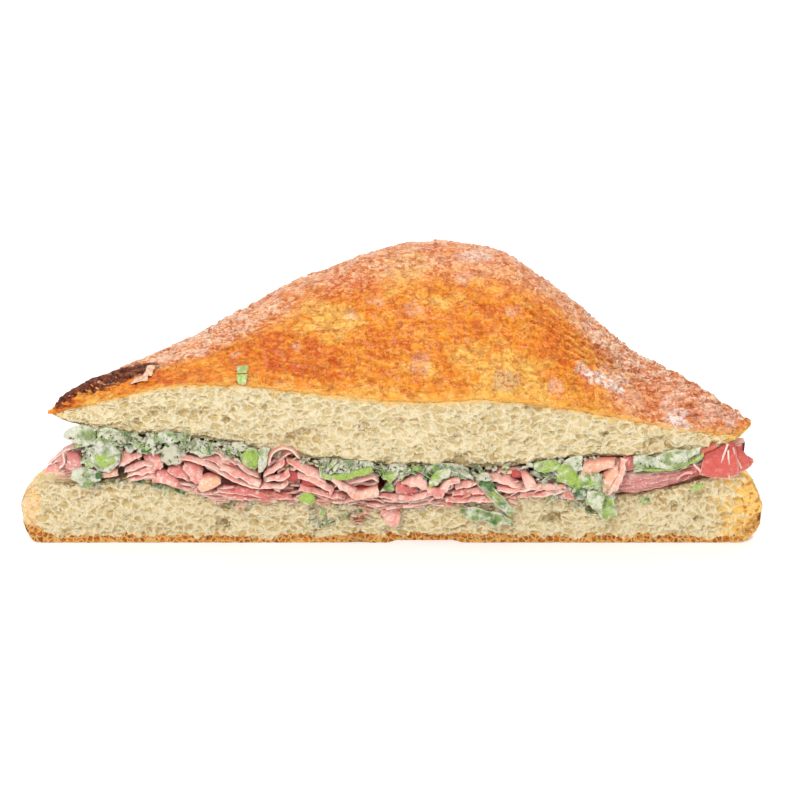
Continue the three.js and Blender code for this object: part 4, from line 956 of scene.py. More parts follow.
def dome(x, share):
    """A place on the lid's crust: how far back and how high."""
    back = np.maximum(lid_depth(x), LEAST_DEPTH)
    under = CUT["lid_under"](x)
    tip = 0.25 + 0.75 * smooth((x - LID_TIP) / 6)
    edge = np.maximum(CUT["crust_edge"](x), under + 0.8 * tip)
    crest = np.maximum(mix(edge, CUT["crest"](x), tip), edge - 4)
    rim = np.maximum(lid_rim(x), under + 0.4)
    rising = mix(edge, crest, np.sin(np.pi / 2 * np.minimum(share / CREST_SHARE, 1)))
    fall = clamp01((share - CREST_SHARE) / FALL_SHARE)
    falling = mix(rim, np.maximum(crest, rim + 0.6), (1 - fall ** 2.2) ** (1 / 1.7))
    y = back * share
    swell = clamp01(back / 20) * np.sin(np.pi * share)
    lump = (0.9 * noise(x / 16, y / 16, 3) + 0.35 * noise(x / 5, y / 5, 4)) * swell
    return y, np.where(share < CREST_SHARE, rising, falling) + lump


def make_lid_crumb(finish, material, tree):
    face_rows, top_rows, under_rows, count = 84, 9, 10, 900
    x = stations(LID_LEFT + 0.6, LID_RIGHT - 0.6, count)[:, None]
    back = np.maximum(lid_depth(x), LEAST_DEPTH)
    under = CUT["lid_under"](x)
    edge = np.maximum(CUT["crust_edge"](x), under + 0.8)
    ragged = 0.7 * noise(x / 3.3, 1.5) + 0.5 * noise(x / 1.1, 7.5) - 0.25
    low = under + ragged * clamp01((edge - under) / 6)
    t = np.linspace(0, 1, face_rows)[None]
    z = mix(low, edge - 0.35, t)
    xx = x + 0 * z
    lean = 0.55 * noise(xx / 4.1, z / 3.3, 2) + 0.3 * noise(xx / 9, z / 7, 9)
    round_low = 1.2 * (1 - smooth(t * 12)) * clamp01((edge - under) / 6)
    y = lean * clamp01(back / 12) + round_low + bubbles_at(LID_BUBBLES, xx, z)
    rows = [np.stack([xx, y, z], -1)]
    share = np.linspace(0.03, 0.99, top_rows)[None]
    ty, tz = dome(x + 0 * share, share + 0 * x)
    ty = ty * (1 - 1 / np.maximum(back, 4))
    rows.append(np.stack([x + 0 * share, ty, np.maximum(tz - 1.6, under + 0.3)], -1))
    uy = back * np.linspace(0.97, 0.02, under_rows)[None] ** 1.3
    rows.append(np.stack([x + 0 * uy, uy, lid_under_at(x, uy) + 0.25 * noise(x / 4, uy / 4, 7)], -1))
    points = np.concatenate(rows, 1)
    crumb = np.concatenate([clamp01((edge - under) / 5) * np.minimum(1, 8 * np.minimum(t + 0.04, 1.02 - t)),
                            np.zeros((count, top_rows)), np.full((count, under_rows), 0.5)], 1)
    moist = smooth((z - (edge - 3.4 - 1.2 * noise(x / 3, z / 2))) / 3.2) * 1.1
    moist = np.concatenate([moist, np.zeros((count, top_rows + under_rows))], 1)
    obj = solid_piece("lid_crumb", points, tube_faces(count, points.shape[1]),
                      {"crumb": crumb, "moist": moist, "crust": 0 * crumb})
    grow(obj, tree, cell_size=finish.cell_size, bubble_size=finish.bubble_size, depth=finish.pore_depth,
         width=1.45, seed=3.0, material=material)
    finish_piece(obj, "crust", "bread_lid")


def make_lid_crust(finish, material, tree):
    outer_rows, inner_rows, count = 118, 9, 700
    x = stations(LID_TIP, LID_RIGHT - 0.4, count)[:, None]
    under = CUT["lid_under"](x)
    share = np.interp(np.linspace(0, 1, outer_rows), [0, 0.04, 0.8, 1], [0, 0.012, 0.58, 1])[None] + 0 * x
    y, z = dome(x + 0 * share, share)
    front = np.exp(-y / 0.5)
    ragged = 0.35 * noise(x / 2.1, 3.3) + 0.25 * noise(x / 0.8, 9.1)
    folds = patches(WRINKLED, x + 0 * y, y)
    scorched = patches(SCORCHED, x + 0 * y, y)
    pleat = np.sin((0.3 * x + 0.95 * y) * 2.1 + 3 * noise(x / 7, y / 7, 11))
    bx, by, wide, deep = BLISTER
    swollen = np.sqrt(np.maximum(0, 1 - ((x - bx) / wide) ** 2 - ((y - by) / deep) ** 2))
    z = z + (0.5 * folds + 0.35 * scorched) * pleat + 0.8 * swollen
    z = z + 0.9 * np.exp(-y / 0.8) * (ragged - 0.3) * clamp01((x + 96) / 6)
    y = y - 0.25 * front + 0.3 * ragged * np.exp(-y / 2.5)
    rows = [np.stack([x + 0 * share, y, z], -1)]
    inner = np.linspace(0.985, 0.0, inner_rows)[None] + 0 * x
    iy, iz = dome(x + 0 * inner, inner)
    thick = 0.8 + 0.25 * noise(x / 3.7, 2.2) + 0.8 * ragged + 0.25 * noise(x / 0.45, 4.4)
    back = np.maximum(lid_depth(x), LEAST_DEPTH)
    rows.append(np.stack([x + 0 * inner, iy * (1 - 0.6 / np.maximum(back, 3)),
                          np.maximum(iz - thick, under + 0.12)], -1))
    points = np.concatenate(rows, 1)
    xs, ys = points[..., 0], points[..., 1]
    points[..., 0] = np.where(xs < SQUEEZED_FROM, SQUEEZED_FROM + SQUEEZE * (xs - SQUEEZED_FROM), xs)
    share_all = np.concatenate([share, inner], 1)
    # Painted highlight and shade on the wrinkles: the raised pleats are painted paler and their valleys darker.
    pleat_highlight_and_shade = np.concatenate([folds * pleat, 0 * inner], 1)
    bake = (0.36 + patches(BAKED, xs, ys) - patches(PALE, xs, ys) + 0.2 * smooth((ys - 20) / 40)
            + 0.3 * smooth((xs - 58) / 30) - 0.9 * pleat_highlight_and_shade - 0.3 * np.exp(-np.maximum(ys, 0) / 2.2))
    # Rosy places on the upper slopes and the left crest: partly the crust's own rosy tone, partly a painted
    # sheen of glancing reflection near the outline.
    crest_like = smooth((share_all - 0.22) / 0.3) * smooth((-8 - xs) / 45)
    rosy = np.maximum(crest_like, 0.55 * smooth((share_all - 0.3) / 0.25) + 0.5 * smooth((xs - 48) / 25))
    # Whitish places: dusted flour, and some painted highlights.
    flour = patches(FLOUR_AND_HIGHLIGHTS, xs, ys)
    rim_fade = np.exp(-np.maximum(ys, 0) / (0.7 + 0.5 * noise(xs / 3, 1.7) + 1.2 * smooth((xs - 25) / 12)
                                            * smooth((75 - xs) / 12))) * smooth((xs + 96) / 12)
    outer = np.concatenate([smooth(share * 40 + 0.1), np.zeros((count, inner_rows))], 1)
    outer *= clamp01(back / 5) * (1 + 0.7 * smooth((x - 46) / 26))
    values = {"outer": outer, "bake": bake, "flour": flour, "rim": rim_fade, "rosy": rosy,
              "char": patches(SCORCHED, xs, ys) * outer, "tan": patches(TANNED, xs, ys) * outer}
    obj = solid_piece("lid_crust", points, tube_faces(count, points.shape[1]), values)
    grow(obj, tree, flake_size=finish.flake_size, flake_height=finish.flake_height,
         blister_height=finish.blister_height, seed=0.0, material=material)
    finish_piece(obj, "crust", "bread_lid")


def make_base(finish, material, tree):
    face_rows, top_rows, count = 70, 24, 840
    x = stations(0.3 - BASE_HALF_LENGTH, BASE_HALF_LENGTH - 0.3, count)[:, None]
    gone = BASE_HALF_LENGTH - np.abs(x)
    swell = (1 - (1 - clamp01(gone / np.where(x < 0, 6.5, 8.5))) ** 2.5) ** 0.55
    foot = np.sqrt(1 - (1 - clamp01(gone / np.where(x < 0, 4.5, 6.5))) ** 2)
    front = (1 - swell) * 3
    back = np.maximum(base_depth(x), front + 1.2)
    middle = CUT["bed"](x) * 0.5
    low = mix(middle - 0.6, 0, foot)

    def height_at(y):
        return mix(middle + 0.6, bed_at(x, y), swell)
    t = np.linspace(0, 1, face_rows)[None]
    top = height_at(front)
    z = mix(low, top, t)
    xx = x + 0 * z
    lean = (0.5 * noise(xx / 4.6, z / 3.6, 2) + 0.35 * noise(xx / 11, z / 8, 9)) * swell * smooth(z / 4)
    sag = -0.8 * (1 - smooth(z / 1.6)) * swell
    torn = 1.4 * smooth((xx + 2) / 4) * smooth((22 - xx) / 4) * (1 - smooth((z - 1.2) / 1.2)) * swell
    top_edge = 0.8 * smooth((t - 0.94) * 16) * swell
    y = front + lean + sag + torn + top_edge + bubbles_at(BASE_BUBBLES, xx, z)
    rows = [np.stack([xx, y, z], -1)]
    ty = mix(front, back, (np.linspace(0, 1, top_rows + 1)[None, 1:]) ** 1.4)
    rows.append(np.stack([x + 0 * ty, ty, height_at(ty) + 0.35 * noise(x / 4, ty / 4) * swell], -1))
    share = np.array([0.9, 0.8, 0.68, 0.56, 0.44, 0.33, 0.22, 0.12, 0.05, 0.01])[None]
    out = np.interp(share, [0, 0.12, 0.33, 0.58, 0.82, 1], [-0.6, 0.25, 0.78, 1, 0.7, 0])
    lump = 0.6 * noise(x / 13, share * 3, 5)
    rows.append(np.stack([x + 0 * share, back + (2.6 * out + lump) * swell,
                          mix(low, height_at(back), share)], -1))
    reach = np.array([1, 0.72, 0.45, 0.2, 0.04])[None]
    by = mix(front + 1, np.maximum(back - 4.5 * swell, front + 1.3), reach)
    rows.append(np.stack([x + 0 * reach, by, low + 0 * reach], -1))
    points = np.concatenate(rows, 1)
    points[..., 0] += END_REACH * np.sign(x) * smooth((np.abs(x) - 90) / 20)
    face_z, end_z = points[:, :face_rows, 2], points[:, face_rows + top_rows:, 2]
    rest = end_z.shape[1]
    left_foot = smooth((-100 - x) / 6)
    thick = (2 + 0.9 * noise(x / 3.3, 1.1) + 0.6 * noise(x / 1.2, 6.1) + 0.4 * noise(x / 0.5, 2.7)
             + 2 * left_foot)
    ends = smooth((np.abs(x) - 102 - 2.5 * noise(z / 3, x / 3)) / 5)
    face_crust = np.maximum(1 - smooth((z - thick + 0.45) / 0.9), ends)
    top_crust = smooth((ty - back + 2.5) / 1.5) + 0 * ty
    crust = np.concatenate([face_crust, np.maximum(top_crust, smooth((np.abs(x) - 104) / 2)),
                            np.ones((count, rest))], 1)
    browned = 2.2 + 0.9 * noise(x / 5, 3.1) + 1.6 * smooth((x - 80) / 20) + 1.5 * left_foot
    bake = np.concatenate([(1 - smooth((z - browned) / 3)) * (1 - 0.4 * smooth((x - 98) / 6)),
                           0 * ty + 0.35, 0.35 + 0.65 * (1 - smooth((end_z - 3) / 8))], 1)
    face_crumb = np.maximum(swell, 0.7) * mix(1, 0.75, face_crust)
    face_crumb = face_crumb * clamp01((1.03 - t) * 14) * clamp01(t * 12 + 0.15)
    crumb = np.concatenate([face_crumb, np.full((count, top_rows), 0.5), np.full((count, rest), 0.16)], 1)
    honeyed = smooth((x - 93 + 3 * noise(x / 4, z / 3)) / 9) + 0.4 * smooth((-101 - x) / 5)
    moist = np.concatenate([np.maximum(0.5 * smooth((3.4 - face_z) / 2), honeyed),
                            np.zeros((count, top_rows + rest))], 1)
    obj = solid_piece("base_bread", points, tube_faces(count, points.shape[1]),
                      {"crumb": crumb, "moist": moist, "crust": crust, "bake": bake})
    grow(obj, tree, cell_size=finish.cell_size * 1.1, bubble_size=finish.bubble_size * 1.1,
         depth=finish.pore_depth, width=1.15, seed=40.0, material=material)
    finish_piece(obj, "bread", "bread_base")


# Ham
def smooth_path(points, step):
    """Points at even steps along a smooth path through the given ones."""
    p = np.array(points, float)
    ends = np.vstack([2 * p[0] - p[1], p, 2 * p[-1] - p[-2]])
    fine = []
    for i in range(1, len(ends) - 2):
        a, b, c, d = ends[i - 1:i + 3]
        t = np.linspace(0, 1, 24, endpoint=False)[:, None]
        fine.append(0.5 * (2 * b + (c - a) * t + (2 * a - 5 * b + 4 * c - d) * t ** 2
                           + (3 * b - a - 3 * c + d) * t ** 3))
    fine = np.vstack([*fine, ends[-2:-1]])
    length = np.r_[0, np.cumsum(np.hypot(*np.diff(fine, axis=0).T))]
    s = np.linspace(0, length[-1], max(6, int(length[-1] / step)))
    return np.stack([np.interp(s, length, fine[:, 0]), np.interp(s, length, fine[:, 1])], 1), s


# How far behind its front edge each loop of a slice lies; the last two follow the filling's depth
INNER_ROW, LAST_ROW = 60, 80
HAM_ROWS = np.array([0, 0.12, 0.3, 0.55, 0.85, 1.2, 1.6, 2.1, 2.7, 3.5, 4.6, 6, 8, 11, 16, 24, 40,
                     INNER_ROW, LAST_ROW])


def ribbon(path, s, thickness, seed, reach, droop=1.0):
    """A slice of ham along a path, with a torn front edge that sags, carried back between the breads."""
    ahead = np.gradient(path, axis=0)
    ahead /= np.maximum(np.hypot(*ahead.T), 1e-6)[:, None]
    side = np.stack([-ahead[:, 1], ahead[:, 0]], 1)
    n = len(path)
    from_end = np.minimum(s, s[-1] - s)
    girth = np.sqrt(clamp01(from_end / 0.7) * (2 - clamp01(from_end / 0.7))) * 0.8 + 0.2
    girth = girth * (1 + 0.18 * noise(s / 2.3, seed))
    stands = (1.1 + 1.5 * noise(s / 5.5, seed * 1.7) + 0.5 * noise(s / 1.6, seed + 4)
              + 0.18 * noise(s / 0.45, seed))
    stands = np.maximum(stands * reach, -0.9)
    deepest = filling_depth(path[:, 0])
    loops, edge, deep, along = [], [], [], []
    for k, row in enumerate(HAM_ROWS):
        if row < INNER_ROW:
            y = np.minimum(row - stands * np.exp(-row / 6), deepest)
        else:
            y = deepest * (1 if row == LAST_ROW else 0.7)
        nose = (0.3, 0.72, 0.93, 1.0)[min(k, 3)]
        near = np.exp(-row / 4)
        ripple = 0.3 * noise(s / 2.8, row / 3.2, seed) * min(1, 0.4 + row / 6)
        sag = -droop * near * (0.5 + 0.5 * noise(s / 6, seed + 9)) * 0.9
        sides = []
        for sign in (1, -1):
            half = sign * thickness * girth * nose / 2 + ripple
            x = path[:, 0] + side[:, 0] * half
            z = path[:, 1] + side[:, 1] * half + sag
            sides.append(carried(x, z, y))
        loops.append(np.concatenate([sides[0], sides[1][::-1]]))
        tip = max(0.0, 1 - row / 0.9)
        rim = np.maximum(tip, 1 - clamp01(from_end / 0.8))
        edge.append(np.concatenate([rim, rim[::-1]]))
        # Painted shade: loops further behind the front edge are painted towards the deep red of the hollows,
        # the last loop less so.
        back = clamp01((row - 1.0) / 7) * (0.3 if row == LAST_ROW else 1) + 0 * s
        deep.append(np.concatenate([back, back[::-1]]))
        along.append(np.concatenate([s, s[::-1]]))
    points = np.array(loops)
    values = {"edge": np.array(edge), "deep": np.array(deep), "along": np.array(along) + 13.0 * seed}
    faces = tube_faces(len(loops), 2 * n, strip=True)
    return points.reshape(-1, 3), faces, {key: value.ravel() for key, value in values.items()}


def band_between(low, high, left, right, count, bulge, rows, seed, recess=0.0, sheets=0.0):
    """A solid between two lines of the cut face, carried back, with an uneven bulging front."""
    x = np.linspace(left, right, count)[:, None]
    t = np.linspace(0, 1, rows)[None]
    z = mix(low(x), high(x), t)
    taper = clamp01(np.minimum(x - left, right - x) / 1.5)
    out = bulge * (4 * t * (1 - t)) ** 0.6
    out = out + 0.7 * noise(x / 3.1, z / 2.2, seed) + 0.35 * noise(x / 1.1, z / 0.9, seed)
    out = out + sheets * (((t * 4.3 + 0.25 * noise(x / 6, seed)) % 1.0) - 0.5)
    y = recess - out * taper + (1 - taper) * 1.2
    deepest = filling_depth(x)
    front = carried(x + 0 * z, z, np.minimum(y, deepest))
    ys = np.array([0.06, 0.2, 0.5, 1.0])[None]
    under = carried(x + 0 * ys, low(x) + 0 * ys, deepest * ys)
    over = carried(x + 0 * ys, high(x) + 0 * ys, deepest * ys)
    points = np.concatenate([front[:, ::-1], under, over[:, ::-1]], 1)
    size = points.shape[1]
    height = np.concatenate([t[:, ::-1] + 0 * x, np.zeros((count, ys.size)), np.ones((count, ys.size))], 1)
    proud = np.concatenate([(out * taper)[:, ::-1], np.zeros((count, 2 * ys.size))], 1)
    return points.reshape(-1, 3), tube_faces(count, size), {"height": height.ravel(), "proud": proud.ravel()}


def ham_material(finish, name, broad=False):
    material, g, shader, place = new_material(name)
    edge, deep, along = value_of(g, "edge"), value_of(g, "deep"), value_of(g, "along")
    shade, warm = value_of(g, "shade"), value_of(g, "warm")
    cloud = g.noise(g.wandered(place, 0.3, 1.5), 0.3, 3.0, 0.6)
    meat = g.blend(g.fade(cloud, 0.36, 0.64), finish.ham, finish.ham_rosy)
    if broad:
        height = value_of(g, "height")
        redness = g.plus(g.part(place, 0), g.swing(cloud, 22.0))
        meat = g.blend(g.fade(redness, RED_HAM_LEFT, 95.0), finish.ham_dusky, finish.ham_red)
        meat = g.blend(g.fade(g.noise(place, 0.5, 3.0, 0.6), 0.5, 0.66, 0.0, 0.55), meat, finish.ham_deep)
        stretch = g.vector("MULTIPLY", g.wandered(place, 0.25, 2.5), (0.55, 0.8, 1.2))
        for scale, width, share in ((0.42, 0.018, 0.7), (1.3, 0.04, 0.3)):
            fat = g.noise(stretch, scale, 3.0, 0.5)
            streak = g.fade(g.math("ABSOLUTE", g.minus(fat, 0.5)), 0.0, width, share, 0.0)
            meat = g.blend(streak, meat, finish.ham_fat)
        meat = g.blend(g.fade(height, 0.86, 1.0, 0.0, 0.5), meat, finish.ham_fat)
    else:
        blush = g.plus(g.math("MAXIMUM", shade, 0.0), g.swing(cloud, 0.9))
        meat = g.blend(g.fade(blush, 0.05, 0.95, 0.0, 0.95), meat, finish.ham_deep)
        meat = g.blend(g.times(g.math("MAXIMUM", warm, 0.0), 0.75), meat, finish.ham_warm)
        meat = g.blend(g.times(g.math("MAXIMUM", g.times(warm, -1.0), 0.0), 0.8), meat, finish.ham_dusky)
        grain = g.noise(g.vector("MULTIPLY", g.wandered(place, 0.6, 1.0), (1.0, 0.4, 1.0)), 0.9, 4.0, 0.65)
        meat = g.blend(g.fade(grain, 0.5, 0.68, 0.0, 0.8), meat, finish.ham_fat)
        meat = g.blend(g.fade(grain, 0.26, 0.44, 0.6, 0.0), meat, finish.ham_deep)
        ring = g.node("ShaderNodeCombineXYZ", {"X": g.times(along, 0.12)}).outputs[0]
        fatty = g.fade(g.noise(ring, 1.0, 1.0), 0.5, 0.62)
        pale = g.times(g.fade(edge, 0.1, 0.8), g.plus(g.times(fatty, 0.4), 0.55))
        redness = g.fade(g.part(place, 0), RED_HAM_LEFT, 93.0, 0.0, 0.75)
        meat = g.blend(redness, meat, finish.ham_red)
        meat = g.blend(pale, meat, finish.ham_edge)
        # Painted shade: the ham behind the front edge and between the folds is painted deep red.
        meat = g.blend(g.fade(deep, 0.0, 1.0, 0.0, 0.9), meat, finish.ham_hollow)
    # Small flecks in the deep red of the painted shade.
    pin = g.cells(place, 1.4).outputs["Distance"]
    meat = g.blend(g.fade(pin, 0.05, 0.2, 0.25, 0.0), meat, finish.ham_hollow)
    surfaced(g, shader, meat, g.fade(cloud, 0.3, 0.7, 0.22, 0.45),
             {"Specular IOR Level": 0.5, **soft(0.25, (1.0, 0.45, 0.35), 0.7)})
    bumped(g, shader, g.noise(g.wandered(place, 0.8, 1.0), 1.3, 4.0, 0.65), 0.5, 0.9)
    return material


def along_line(points):
    """Places (x, z) at shares of the length of a smooth line through points, and its length."""
    path, s = smooth_path(points, 0.1)

    def at(v):
        v = clamp01(v) * s[-1]
        return np.stack([np.interp(v, s, path[:, 0]), np.interp(v, s, path[:, 1])], -1)
    return at, s[-1]


def sheet(surface, across, along, thickness):
    """A thin closed sheet over surface(u, v), with its place across and along kept."""
    u, v = np.meshgrid(np.linspace(0, 1, across + 1), np.linspace(0, 1, along + 1))
    step = 0.01
    du = surface(u + step, v) - surface(u - step, v)
    dv = surface(u, v + step) - surface(u, v - step)
    normal = np.cross(du, dv)
    normal /= np.maximum(np.linalg.norm(normal, axis=-1, keepdims=True), 1e-9)
    inside = clamp01(np.minimum(np.minimum(u, 1 - u) * 8, np.minimum(v, 1 - v) * 12))
    thin = thickness / 2 * (0.25 + 0.75 * inside)
    middle = surface(u, v)
    points = np.concatenate([(middle + normal * thin[..., None]).reshape(-1, 3),
                             (middle - normal * thin[..., None]).reshape(-1, 3)])
    row = across + 1
    other = row * (along + 1)
    j, i = np.meshgrid(np.arange(along), np.arange(across), indexing="ij")
    a = (j * row + i).ravel()
    top = np.stack([a, a + 1, a + row + 1, a + row], 1)
    faces = top.tolist() + (top[:, ::-1] + other).tolist()
    rim = ([*range(across)] + [k * row + across for k in range(along)]
           + [along * row + k for k in range(across, 0, -1)] + [k * row for k in range(along, 0, -1)])
    for k, start in enumerate(rim):
        end = rim[(k + 1) % len(rim)]
        faces.append([end, start, start + other, end + other])
    return points, faces, {"across": np.tile(u.ravel(), 2), "along": np.tile(v.ravel(), 2)}


def loose_sheet(low, high, y_low, y_high, seed, thickness, ruffle, ragged, cell=0.55):
    """A thin torn sheet between its front edge and its back edge."""
    front, length = along_line(low)
    back, _ = along_line(high)
    width = np.hypot(np.linalg.norm(front(np.array(0.5)) - back(np.array(0.5))), y_high - y_low)

    def surface(u, v):
        torn = ragged * (noise(v * length / 1.7, seed) + 0.6 * noise(v * length / 0.6, seed + 3)) * (1 - u) ** 2
        ends = ragged * noise(u * width / 1.3, seed + 7) * (2 * v - 1) ** 3
        uu, vv = u - torn / max(width, 1.0), v - ends / max(length, 1.0)
        place = mix(front(vv), back(vv), uu[..., None])
        y = mix(y_low, y_high, uu) - 0.12 * width * np.sin(np.pi * clamp01(uu))
        wave = noise(v * length / 2.4, u * width / 3, seed) + 0.4 * noise(v * length / 0.9, u * width, seed + 5)
        wave = wave * ruffle
        return np.stack([place[..., 0], y - 0.7 * wave, place[..., 1] + 0.7 * wave], -1)
    across, along = int(np.clip(width / cell, 5, 16)), int(np.clip(length / cell, 8, 90))
    points, faces, values = sheet(surface, across, along, thickness)
    values["length"], values["width"] = length, width
    return points, faces, values


def make_ham(finish):
    material = ham_material(finish, "sliced ham")
    for index, (node, points) in enumerate(FOLDS.items()):
        path, s = smooth_path(points, 0.3)
        made = ribbon(path, s, finish.ham_thickness * 0.9, index + 3.0, 0.45 if node != "ham_hanging" else 0.9)
        made[2]["shade"] = 0.35
        name = node.replace("ham_fold", "folded_ham").replace("ham_hanging", "hanging_ham")
        add_piece(name, made, material, "ham", node)
    for index, (left, right, lift) in enumerate([(-66, 55, 0.95), (-64.5, 26.5, 2.5)]):
        x = np.arange(left, right, 0.35)
        path = np.stack([x, CUT["bed"](x) + lift + 0.05 * np.sin(x / 4.3 + lift)], 1)
        made = ribbon(path, x - left, finish.ham_thickness, 1.0 + index, 0.8, 0.4)
        made[2]["shade"] = 0.5
        add_piece(f"long_ham_{index + 1}", made, material, "ham", f"ham_long_{index + 1}")
    wide = ham_material(finish, "marbled ham", True)
    made = band_between(CUT["broad_low"], CUT["broad_high"], 65.5, 103.5, 190, 1.5, 56, 6.0, sheets=0.5)
    add_piece("broad_ham", made, wide, "ham", "ham_broad")
    made = band_between(CUT["left_low"], CUT["left_high"], -99.5, -91, 60, 1.2, 56, 2.0, sheets=0.6)
    add_piece("left_ham", made, wide, "ham", "ham_left")
    parts = []
    for index, (low, high, y_low, y_high, shade, warm) in enumerate(HAM_SHEETS):
        # Sheets of painted shade are set back into the hollows between the folds.
        hollow = SHADE_SHEET_SET_BACK * (shade > SHADE_SHEET_AT)
        torn = 0.15 if low[0][0] > RED_HAM_LEFT else 0.45
        thick = FAT_THICKNESS if shade < FAT_AT else LOOSE_HAM_THICKNESS
        points, faces, values = loose_sheet(low, high, y_low + hollow, y_high + hollow, index * 2.3, thick,
                                            0.42, torn)
        u, v = values["across"], values["along"]
        from_end = np.minimum(v, 1 - v) * values["length"]
        rim = np.maximum(1 - clamp01(u * values["width"] / 0.55), 0.7 * (1 - clamp01(from_end / 0.5)))
        # Painted shade: each sheet is painted deeper red towards its back edge, under the sheets in front.
        deep = 0.8 * smooth((u - 0.55) / 0.45) * (1 - shade * 0.3)
        parts.append((points, faces, {"edge": rim, "deep": deep, "along": v * values["length"] + 11.0 * index,
                                      "shade": shade, "warm": warm}))
        # Strands of fat are pale all over, and sheets of painted shade deep red all over.
        if abs(shade) > SHADE_SHEET_AT:
            parts[-1][2].update(edge=float(shade < 0), deep=0.85 * float(shade > 0))
    add_piece("loose_ham", many(parts), material, "ham")


# Leaves and salad
def hung_leaf(start, end, width, ruffle, seed):
    """A leaf hung in front of the cut face between two points (x, z, y)."""
    a, b = (np.array([p[0], p[2], p[1]], float) for p in (start, end))
    ahead = b - a
    length = np.linalg.norm(ahead)
    side = np.cross([0, 1, 0], ahead / length)
    side /= np.linalg.norm(side)

    def surface(u, v):
        half = width / 2 * (0.35 + 0.65 * np.sin(np.pi * clamp01(0.08 + 0.84 * v)))
        half = half * (1 + 0.16 * noise(v * length / 2.2, np.round(u) * 7 + seed))
        reach = 2 * u - 1
        wave = ruffle * (np.sin(v * length * 0.9 + seed) * reach * np.abs(reach)
                         + 0.6 * noise(v * length / 2.6, u * width / 2.6, seed))
        cup = LEAF_CUP * (reach ** 2 - 0.4)
        base = a + ahead * v[..., None] + side * (reach * half)[..., None]
        return base + np.stack([0 * v, wave - cup, 0 * v], -1)
    return sheet(surface, 26, 60, LEAF_THICKNESS)


def leaf_material(finish, name, bright, dark, pale):
    material, g, shader, place = new_material(name)
    across, shade, coat = value_of(g, "across"), value_of(g, "shade"), value_of(g, "coat")
    middle = g.math("ABSOLUTE", g.minus(across, 0.5))
    cloud = g.noise(g.wandered(place, 0.5, 1.5), 0.45, 2.0, 0.5)
    mixed = g.plus(cloud, g.swing(shade, 0.55))
    green = g.blend(g.fade(mixed, 0.32, 0.7), dark, bright)
    vein = g.cells(g.wandered(place, 0.7, 1.6), 0.5, "DISTANCE_TO_EDGE").outputs["Distance"]
    green = g.blend(g.fade(vein, 0.0, 0.05, 0.18, 0.0), green, pale)
    film = g.plus(g.noise(g.wandered(place, 0.4, 1.6), 0.34, 3.0, 0.55), g.times(coat, 0.5))
    veil = g.noise(g.wandered(place, 0.4, 1.6), 0.33, 3.0, 0.5)
    thin = g.blend(g.fade(veil, 0.36, 0.56), finish.leaf_grey, finish.leaf_film)
    green = g.blend(g.fade(film, 0.54, 0.78, 0.0, 0.85), green, thin)
    green = g.blend(g.fade(middle, 0.4, 0.48, 0.0, 0.6), green, finish.leaf_film)
    surfaced(g, shader, green, g.fade(cloud, 0.3, 0.7, 0.18, 0.4), soft(0.3, (0.9, 1.0, 0.6), 0.8))
    height = g.plus(g.fade(vein, 0.0, 0.12, 0.5, 0.0), g.times(g.noise(place, 0.9, 3.0), 1.4))
    bumped(g, shader, height, 0.4, 0.9)
    return material


def green_leaf(finish, name):
    return leaf_material(finish, name, finish.leaf_bright, finish.leaf_dark, finish.leaf_pale)


def core_material(finish):
    """The salad behind the loose leaves: painted shade of its dark hollows, with green and cream places."""
    material, g, shader, place = new_material("packed salad")
    cloud = g.noise(g.wandered(place, 0.5, 1.6), 0.5, 3.0, 0.6)
    green = g.blend(g.fade(cloud, 0.36, 0.5), finish.salad_shadow, finish.leaf_dark)
    fresh = g.noise(g.wandered(place, 0.3, 2.0), 0.28, 2.0)
    green = g.blend(g.fade(fresh, 0.5, 0.6, 0.0, 0.8), green, finish.leaf_bright)
    tone = g.blend(g.fade(cloud, 0.58, 0.68, 0.0, 0.8), green, finish.leaf_film)
    surfaced(g, shader, tone, g.fade(cloud, 0.3, 0.7, 0.25, 0.5), {})
    bumped(g, shader, g.noise(place, 1.6, 3.0, 0.6), 0.5, 0.8)
    return material


def dressing_material(finish):
    material, g, shader, place = new_material("cream dressing")
    shade = value_of(g, "shade")
    cloud = g.noise(g.wandered(place, 0.5, 1.2), 0.6, 3.0, 0.6)
    tint = g.plus(shade, g.swing(cloud, 1.2))
    cream = g.blend(g.fade(tint, 0.3, 0.9, 0.0, 0.75), finish.dressing, finish.leaf_film)
    cream = g.blend(g.fade(tint, 0.75, 1.2, 0.0, 0.7), cream, finish.leaf_pale)
    surfaced(g, shader, cream, g.fade(cloud, 0.3, 0.7, 0.15, 0.4), soft(0.5, (1.0, 0.9, 0.6), 0.8))
    bumped(g, shader, g.noise(place, 1.4, 4.0, 0.6), 0.4, 0.8)
    return material


def pepper_material(finish):
    material, g, shader, place = new_material("ground pepper")
    speck = g.noise(place, 3.0, 2.0)
    surfaced(g, shader, g.blend(g.fade(speck, 0.4, 0.6), finish.pepper, BROWN_PEPPER), 0.6, {})
    bumped(g, shader, speck, 0.1, 0.6)
    return material


